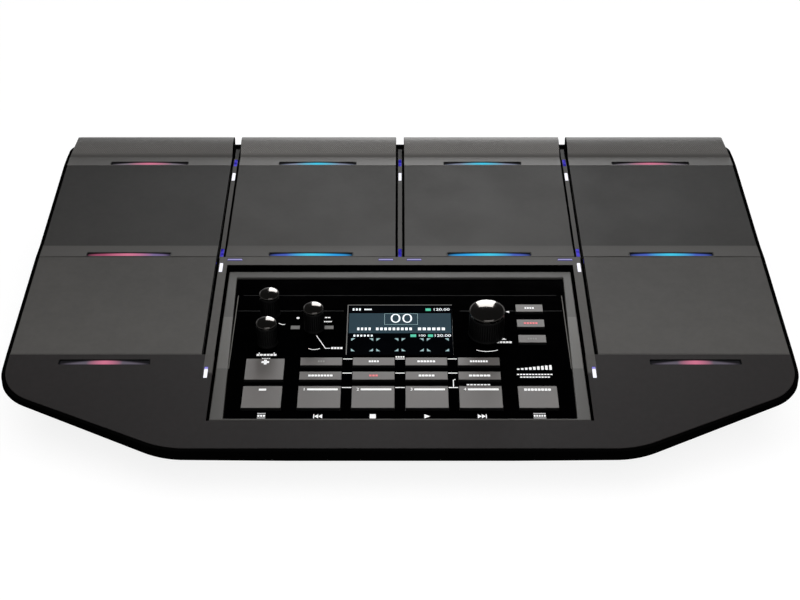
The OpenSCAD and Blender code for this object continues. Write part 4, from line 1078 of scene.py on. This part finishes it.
def panel_marks():
    """White lines, arcs and signs printed on the black panel."""
    face = top_face("control_panel")[0].z
    marks = Marks(face)
    rows = [top_face(f"{row}_key_1") for row in ("track", "loop", "mode")]
    columns = [top_face(f"track_key_{i}") for i in range(1, 5)]
    for low, high in rows:
        v = high.y + 0.9
        for left, right in zip(columns, columns[1:]):
            start, stop = left[1].x, right[0].x
            marks.bar((start + stop) / 2, v, stop - start - 0.9, 0.6)
    level_x, low_v = joint_place("lower_level_knob_turn")
    effect_x, effect_v = joint_place("effect_knob_turn")
    dial_x, dial_v = joint_place("dial_turn")
    # Scale arcs and ticks round the knobs
    marks.arc(effect_x + 0.6, effect_v - 11.8, 5.6, 236, 306, 0.4)
    marks.arc(dial_x, dial_v + 0.4, 14.6, 246, 294, LINE_W)
    marks.bar(level_x - 4.1, low_v - 7.6, 0.6, 1.0)
    marks.bar(level_x + 4.1, low_v - 7.6, 0.6, 1.0)
    marks.dashes(level_x, 53.6, 11.2, DASH_H, 6)
    marks.dashes(level_x, 50.4, 4.8, SMALL_DASH_H, 4, SMALL_GAP)
    # Leader lines
    marks.line((effect_x + 1.5, effect_v - 5.4), (-41.2, 59.2), LINE_W)
    marks.line((-41.4, 59.2), (-38.6, 59.2), LINE_W)
    marks.dashes(-34.9, 59.4, 6.6, DASH_H, 4)
    marks.line((-68.2, 81.0), (-66.4, 79.8), LINE_W)
    marks.line((-66.4, 79.8), (-64.6, 79.8), LINE_W)
    # Signs over the two small lamps
    marks.arc(-57.6, 85.6, 0.45, 0, 360, 0.9, 12)
    marks.dashes(-40.9, 86.0, 3.4, SMALL_DASH_H, 2, SMALL_GAP)
    marks.dashes(-40.6, 82.4, 4.6, 1.0, 4, SMALL_GAP)
    # Push mark by the dial
    marks.polygon([(56.2, 66.6), (59.2, 66.6), (57.7, 68.0)])
    marks.dashes(57.8, 64.4, 8.6, DASH_H, 5)
    marks.arrow(61.0, 91.2, 2.0, 2.0, -1)
    # Rising bars and two dash rows at the right
    for i in range(9):
        rise = 1.0 + 0.35 * i
        marks.bar(64.2 + i * 2.2, 41.2 + rise / 2, 1.4, rise)
    marks.dashes(72.9, 37.4, 19.6, SMALL_DASH_H, 12, WIDE_GAP)
    marks.dashes(72.9, 35.2, 16.4, SMALL_DASH_H, 10, WIDE_GAP)
    # Dash rows between two lines, under the front keys
    for x, width, count in ((-72.8, 4.4, 3), (73.3, 6.6, 5)):
        marks.dashes(x, 4.6, width, 1.4, count)
        marks.bar(x, 2.9, width, 0.3)
        marks.bar(x, 6.4, width, 0.3)
    transport_signs(marks, [(low.x + high.x) / 2 for low, high in columns], 4.2)
    # Hook between the loop row and the track row
    marks.line((28.7, 27.4), (28.7, 32.6), LINE_W)
    marks.line((28.5, 32.6), (29.9, 33.4), LINE_W)
    marks.dashes(42.1, 29.0, 13.0, SMALL_DASH_H, 7, WIDE_GAP)
    marks.dashes(0, 51.9, 5.2, 1.1, 4, SMALL_GAP)
    marks.finish("panel_print", "case", "panel_black", "white")
    # Painted highlights: thin grey lines along the panel's side edges
    edges = Marks(face)
    for side in (-1, 1):
        edges.line((side * 93.2, 42.0), (side * 92.9, 106.0), 0.5)
    edges.finish("panel_edge_highlights", "case", "bezel_grey", "line")
    lamps = Marks(face)
    lamps.bar(-58.7, 77.3, 5.0, 3.0)
    lamps.bar(-39.8, 77.3, 5.0, 3.0)
    lamps.finish("panel_lamps", "case", "key_grey", "grey")
    seams = Marks(face)
    seams.bar(-62.0, 91.9, 60.0, 0.5)
    seams.bar(63.0, 91.9, 58.0, 0.5)
    seams.bar(0, 106.0, 180.0, 0.4)
    seams.finish("panel_seams", "case", "panel_black", "faint")


def transport_signs(marks, xs, v):
    """Skip back, stop, play and skip on, each with a line below."""
    width, length = 2.1, 3.2
    for way, x in ((-1, xs[0]), (1, xs[3])):
        marks.arrow(x - width / 2, v, width, length, way)
        marks.arrow(x + width / 2, v, width, length, way)
        marks.bar(x + way * (width + 0.25), v, 0.5, length)
    marks.bar(xs[1], v, length, length)
    marks.arrow(xs[2], v, 3.0, length)
    for x in xs:
        marks.bar(x, v - 2.35, 4.0, 0.35)


panel_marks()


# Display: a lit picture of plain numbers, bars and boxes under the window
def corner_shaper():
    """Geometry Nodes that repeat a mesh along a line."""
    shaper = Shaper("corner_marks", Count="Int", Start="Vector", Step="Vector", Finish="Material")
    pairs = (("Count", "Count"), ("Start Location", "Start"), ("Offset", "Step"))
    inputs = {socket: shaper.entry(name) for socket, name in pairs}
    shaper.repeat(shaper.node("GeometryNodeMeshLine", inputs=inputs), shaper.entry("Geometry"))
    return shaper


def corner_boxes(middle_v, height):
    """Four boxes on the display, each drawn by its four corners."""
    half_w, half_l, arm, pitch = 6.1, 5.5, 2.2, 14.0
    one = Marks(height)
    for sx in (-1, 1):
        for sv in (-1, 1):
            x, v = sx * half_w, sv * half_l
            points = [(x, v), (x - sx * arm, v), (x, v - sv * arm)]
            one.polygon(points if sx * sv < 0 else points[::-1])
    mesh = corner_shaper().plain_mesh(
        "corner_boxes", to_mesh("corner_boxes", one.shape), PANEL, Count=4,
        Start=(-1.5 * pitch * MM, middle_v * MM, 0), Step=(pitch * MM, 0, 0), Finish=FINISH["mint"])
    piece("corner_boxes", mesh, "case", "display_glass")


def display_picture():
    low, high = top_face("display_lens")
    front, back, top = low.y, high.y, high.z
    number_row = front + 16.2
    name_row = front + 22.1
    head_row = front + 39.3
    teal = Marks(top)
    teal.bar(0, front + 27.2, 57.4, 17.6)
    teal.finish("display_band", "case", "display_glass", "teal")
    box = Marks(top + 0.05)
    lit = Marks(top + 0.05)
    lit.digits("00", 0.8, front + 31.0, 11.5, 1.15, 0.015)
    box.frame(0.6, front + 30.8, 18.6, 9.6, 0.2)
    lit.dashes(-20.2, name_row, 8.4, 2.3, 4, 0.9)
    lit.dashes(-3.4, name_row, 21.0, 2.3, 9, 0.9)
    lit.dashes(17.6, name_row, 16.0, 2.3, 6, 0.9)
    lit.dashes(-24.6, head_row + 0.1, 5.4, 1.9, 3, 0.8)
    lit.dashes(-18.2, head_row + 0.1, 4.4, 1.3, 4, 0.3)
    lit.digits("120.00", 23.4, head_row, 3.0, 1.2)
    lit.digits("100", 12.2, number_row, 2.4, 1.2)
    lit.digits("120.00", 23.6, number_row, 3.0, 1.2)
    lit.dashes(-20.6, number_row, 11.6, 1.6, 6, 0.9)
    lit.finish("display_figures", "case", "display_glass", "lit")
    box.finish("display_box", "case", "display_glass", "mint")
    green = Marks(top)
    green.bar(16.0, head_row, 3.0, 2.2)
    green.bar(7.4, number_row, 3.2, 2.2)
    green.bar(17.0, number_row, 2.8, 2.2)
    green.finish("display_boxes", "case", "display_glass", "green")
    corner_boxes(front + 8.4, top)
    # Painted highlight: grey lines along the back and left edges of the display window
    edge = Marks(top_face("control_panel")[0].z)
    width, length = high.x - low.x + 0.5, back - front + 0.5
    edge.bar((low.x + high.x) / 2, (front + back + length) / 2, width, LINE_W)
    edge.bar((low.x + high.x - width) / 2, (front + back) / 2, LINE_W, length)
    edge.finish("display_edge_highlight", "case", "bezel_grey", "grey")


display_picture()


# Painted light beside the rods: thin glowing sheets on the pad flanks
GLOW_H = 0.75 * MM
GLOW_THICK = 0.02 * MM
ROD_REACH = 6 * MM
ROD_TIP = 0.9 * MM
BOX_FACES = ((0, 1, 2, 3), (7, 6, 5, 4), (0, 4, 5, 1), (1, 5, 6, 2), (2, 6, 7, 3), (3, 7, 4, 0))


def groups_of(node, reach):
    """Points of a node's separate solids, gathered by distance."""
    groups = []
    for vertex in NODES[node].data.vertices:
        for group in groups:
            if (group[0] - vertex.co).length < reach:
                group.append(vertex.co)
                break
        else:
            groups.append([vertex.co])
    return groups


def rod_glow():
    """Painted light: thin glowing sheets for the violet light that the rods beside the outer columns throw
    on the flanks of those pads.
    """
    shape = bmesh.new()
    wall = COLUMNS[3][0] - 0.04 * MM
    for points in groups_of("white_light_rods", ROD_REACH) + groups_of("blue_light_rods", ROD_REACH):
        xs, ys = [p.x for p in points], [p.y for p in points]
        middle = (min(xs) + max(xs)) / 2
        crosswise = max(xs) - min(xs) > max(ys) - min(ys)
        if crosswise or abs(middle) < COLUMNS[2][1] - 3 * MM or max(ys) < LOWER_Y:
            continue
        front = max((p for p in points if p.y < min(ys) + ROD_TIP), key=lambda p: p.z)
        back = max((p for p in points if p.y > max(ys) - ROD_TIP), key=lambda p: p.z)
        rise = 0.8 * MM if front.y > LEDGE_Y else -0.1 * MM
        flank = math.copysign(wall, middle)
        inside = math.copysign(wall - GLOW_THICK, middle)
        corners = []
        for lift in (rise, rise - GLOW_H):
            for end, x in ((front, inside), (front, flank), (back, flank), (back, inside)):
                corners.append(shape.verts.new((x, end.y, end.z + lift)))
        for face in BOX_FACES:
            shape.faces.new([corners[i] for i in face])
    piece("rod_glow", to_mesh("rod_glow", shape), "case", "rod_blue", "rod_glow")


rod_glow()


# Cross slots in the heads of the case screws
def cross_slots():
    screws = {}
    cell = 20 * MM
    for vertex in NODES["case_screws"].data.vertices:
        spot = round(vertex.co.x / cell), round(vertex.co.y / cell)
        screws.setdefault(spot, []).append(vertex.co)
    shape = bmesh.new()
    arm, wide, deep = 1.5 * MM, 0.28 * MM, 0.05 * MM
    for points in screws.values():
        floor = min(point.z for point in points)
        head = [point for point in points if point.z < floor + 0.1 * MM]
        middle = sum(head, Vector()) / len(head)
        for w, h in ((arm, wide), (wide, arm)):
            made = bmesh.ops.create_cube(shape, size=2.0)["verts"]
            bmesh.ops.scale(shape, vec=(w, h, deep / 2), verts=made)
            bmesh.ops.translate(shape, vec=(middle.x, middle.y, floor - deep / 2), verts=made)
    piece("screw_slots", to_mesh("screw_slots", shape), "case", "screw_steel", "socket")


cross_slots()


# Stage: floor, sky, lamps and camera
SKY_DIM = 0.08


def seen_rays(nodes):
    """1 for the rays that the camera sees, straight, in gloss or through glass."""
    kinds = ("Camera", "Glossy", "Transmission")
    rays = [nodes.node("ShaderNodeLightPath", output=f"Is {kind} Ray") for kind in kinds]
    settings = {"operation": "ADD", "use_clamp": True}
    return nodes.node("ShaderNodeMath", settings, {0: rays[0] + rays[1], 1: rays[2]})


def stage_floor():
    """A pale floor that shines white to the camera and is clear from below."""
    shape = bmesh.new()
    bmesh.ops.create_grid(shape, x_segments=1, y_segments=1, size=6.0)
    bmesh.ops.translate(shape, verts=shape.verts, vec=(0, 0, -0.2 * MM))
    mesh = bpy.data.meshes.new("floor")
    shape.to_mesh(mesh)
    shape.free()
    finish = Finish("floor_pale", Base_Color=(0.24, 0.24, 0.24, 1), Roughness=0.9, Specular_IOR_Level=0.0)
    dark, glow = [finish.node("ShaderNodeEmission", inputs={"Strength": power}) for power in (0.0, 0.86)]
    shine = finish.mix(seen_rays(finish), dark, glow)
    lit = finish.node("ShaderNodeAddShader", inputs={0: shine, 1: finish.own()})
    below = finish.node("ShaderNodeNewGeometry", output="Backfacing")
    shadow = finish.node("ShaderNodeLightPath", output="Is Shadow Ray")
    clear = finish.node("ShaderNodeBsdfTransparent")
    finish.surface(finish.mix(below.most(shadow), lit, clear))
    mesh.materials.append(finish.material)
    new_object("floor", mesh)


def sky():
    """White round the horizon, dim overhead, as in a dark studio with a white sweep."""
    world = bpy.data.worlds.new("studio")
    bpy.context.scene.world = world
    world.use_nodes = True
    nodes = Nodes(world.node_tree)
    place = nodes.node("ShaderNodeTexCoord", output="Generated")
    height = nodes.node("ShaderNodeSeparateXYZ", inputs={0: place}, output="Z")
    inputs = {"Value": height, "From Min": 0.12, "From Max": 0.45, "To Min": 1.0, "To Max": SKY_DIM}
    horizon = nodes.node("ShaderNodeMapRange", {"interpolation_type": "SMOOTHSTEP"}, inputs)
    level = nodes.node("ShaderNodeMix", inputs={0: seen_rays(nodes), 2: SKY_DIM, 3: horizon})
    background = world.node_tree.nodes["Background"]
    nodes.give(background.inputs["Color"], (1, 1, 1, 1))
    nodes.give(background.inputs["Strength"], level)


def softbox(name, place, aim, width, length, power, diffuse=True, glossy=True):
    lamp = bpy.data.lights.new(name, "AREA")
    lamp.shape = "RECTANGLE"
    lamp.size = width
    lamp.size_y = length
    lamp.energy = power
    obj = new_object(name, lamp)
    obj.location = place
    obj.rotation_euler = (Vector(aim) - Vector(place)).to_track_quat("-Z", "Y").to_euler()
    obj.visible_diffuse = diffuse
    obj.visible_glossy = glossy


def camera():
    lens = bpy.data.cameras.new("camera")
    lens.sensor_width = 36.0
    lens.lens = 70.25
    obj = new_object("camera", lens)
    obj.location = (0.0, -0.7889, 0.5021)
    obj.rotation_euler = (math.radians(59), 0, 0)
    bpy.context.scene.camera = obj


stage_floor()
sky()
softbox("overhead", (0, 0.05, 1.8), (0, 0, 0.04), 3.0, 2.4, 26, glossy=False)
softbox("behind", (0.11, 1.8, 0.97), (0, 0, 0.05), 0.75, 1.2, 32, diffuse=False)
softbox("under_fill", (0, 0, -1.2), (0, 0, 0), 1.6, 1.2, 8, glossy=False)
softbox("front_fill", (0.35, -1.6, 1.5), (0, 0, 0.04), 1.8, 1.0, 14)
camera()
bpy.context.scene.view_settings.view_transform = "Standard"
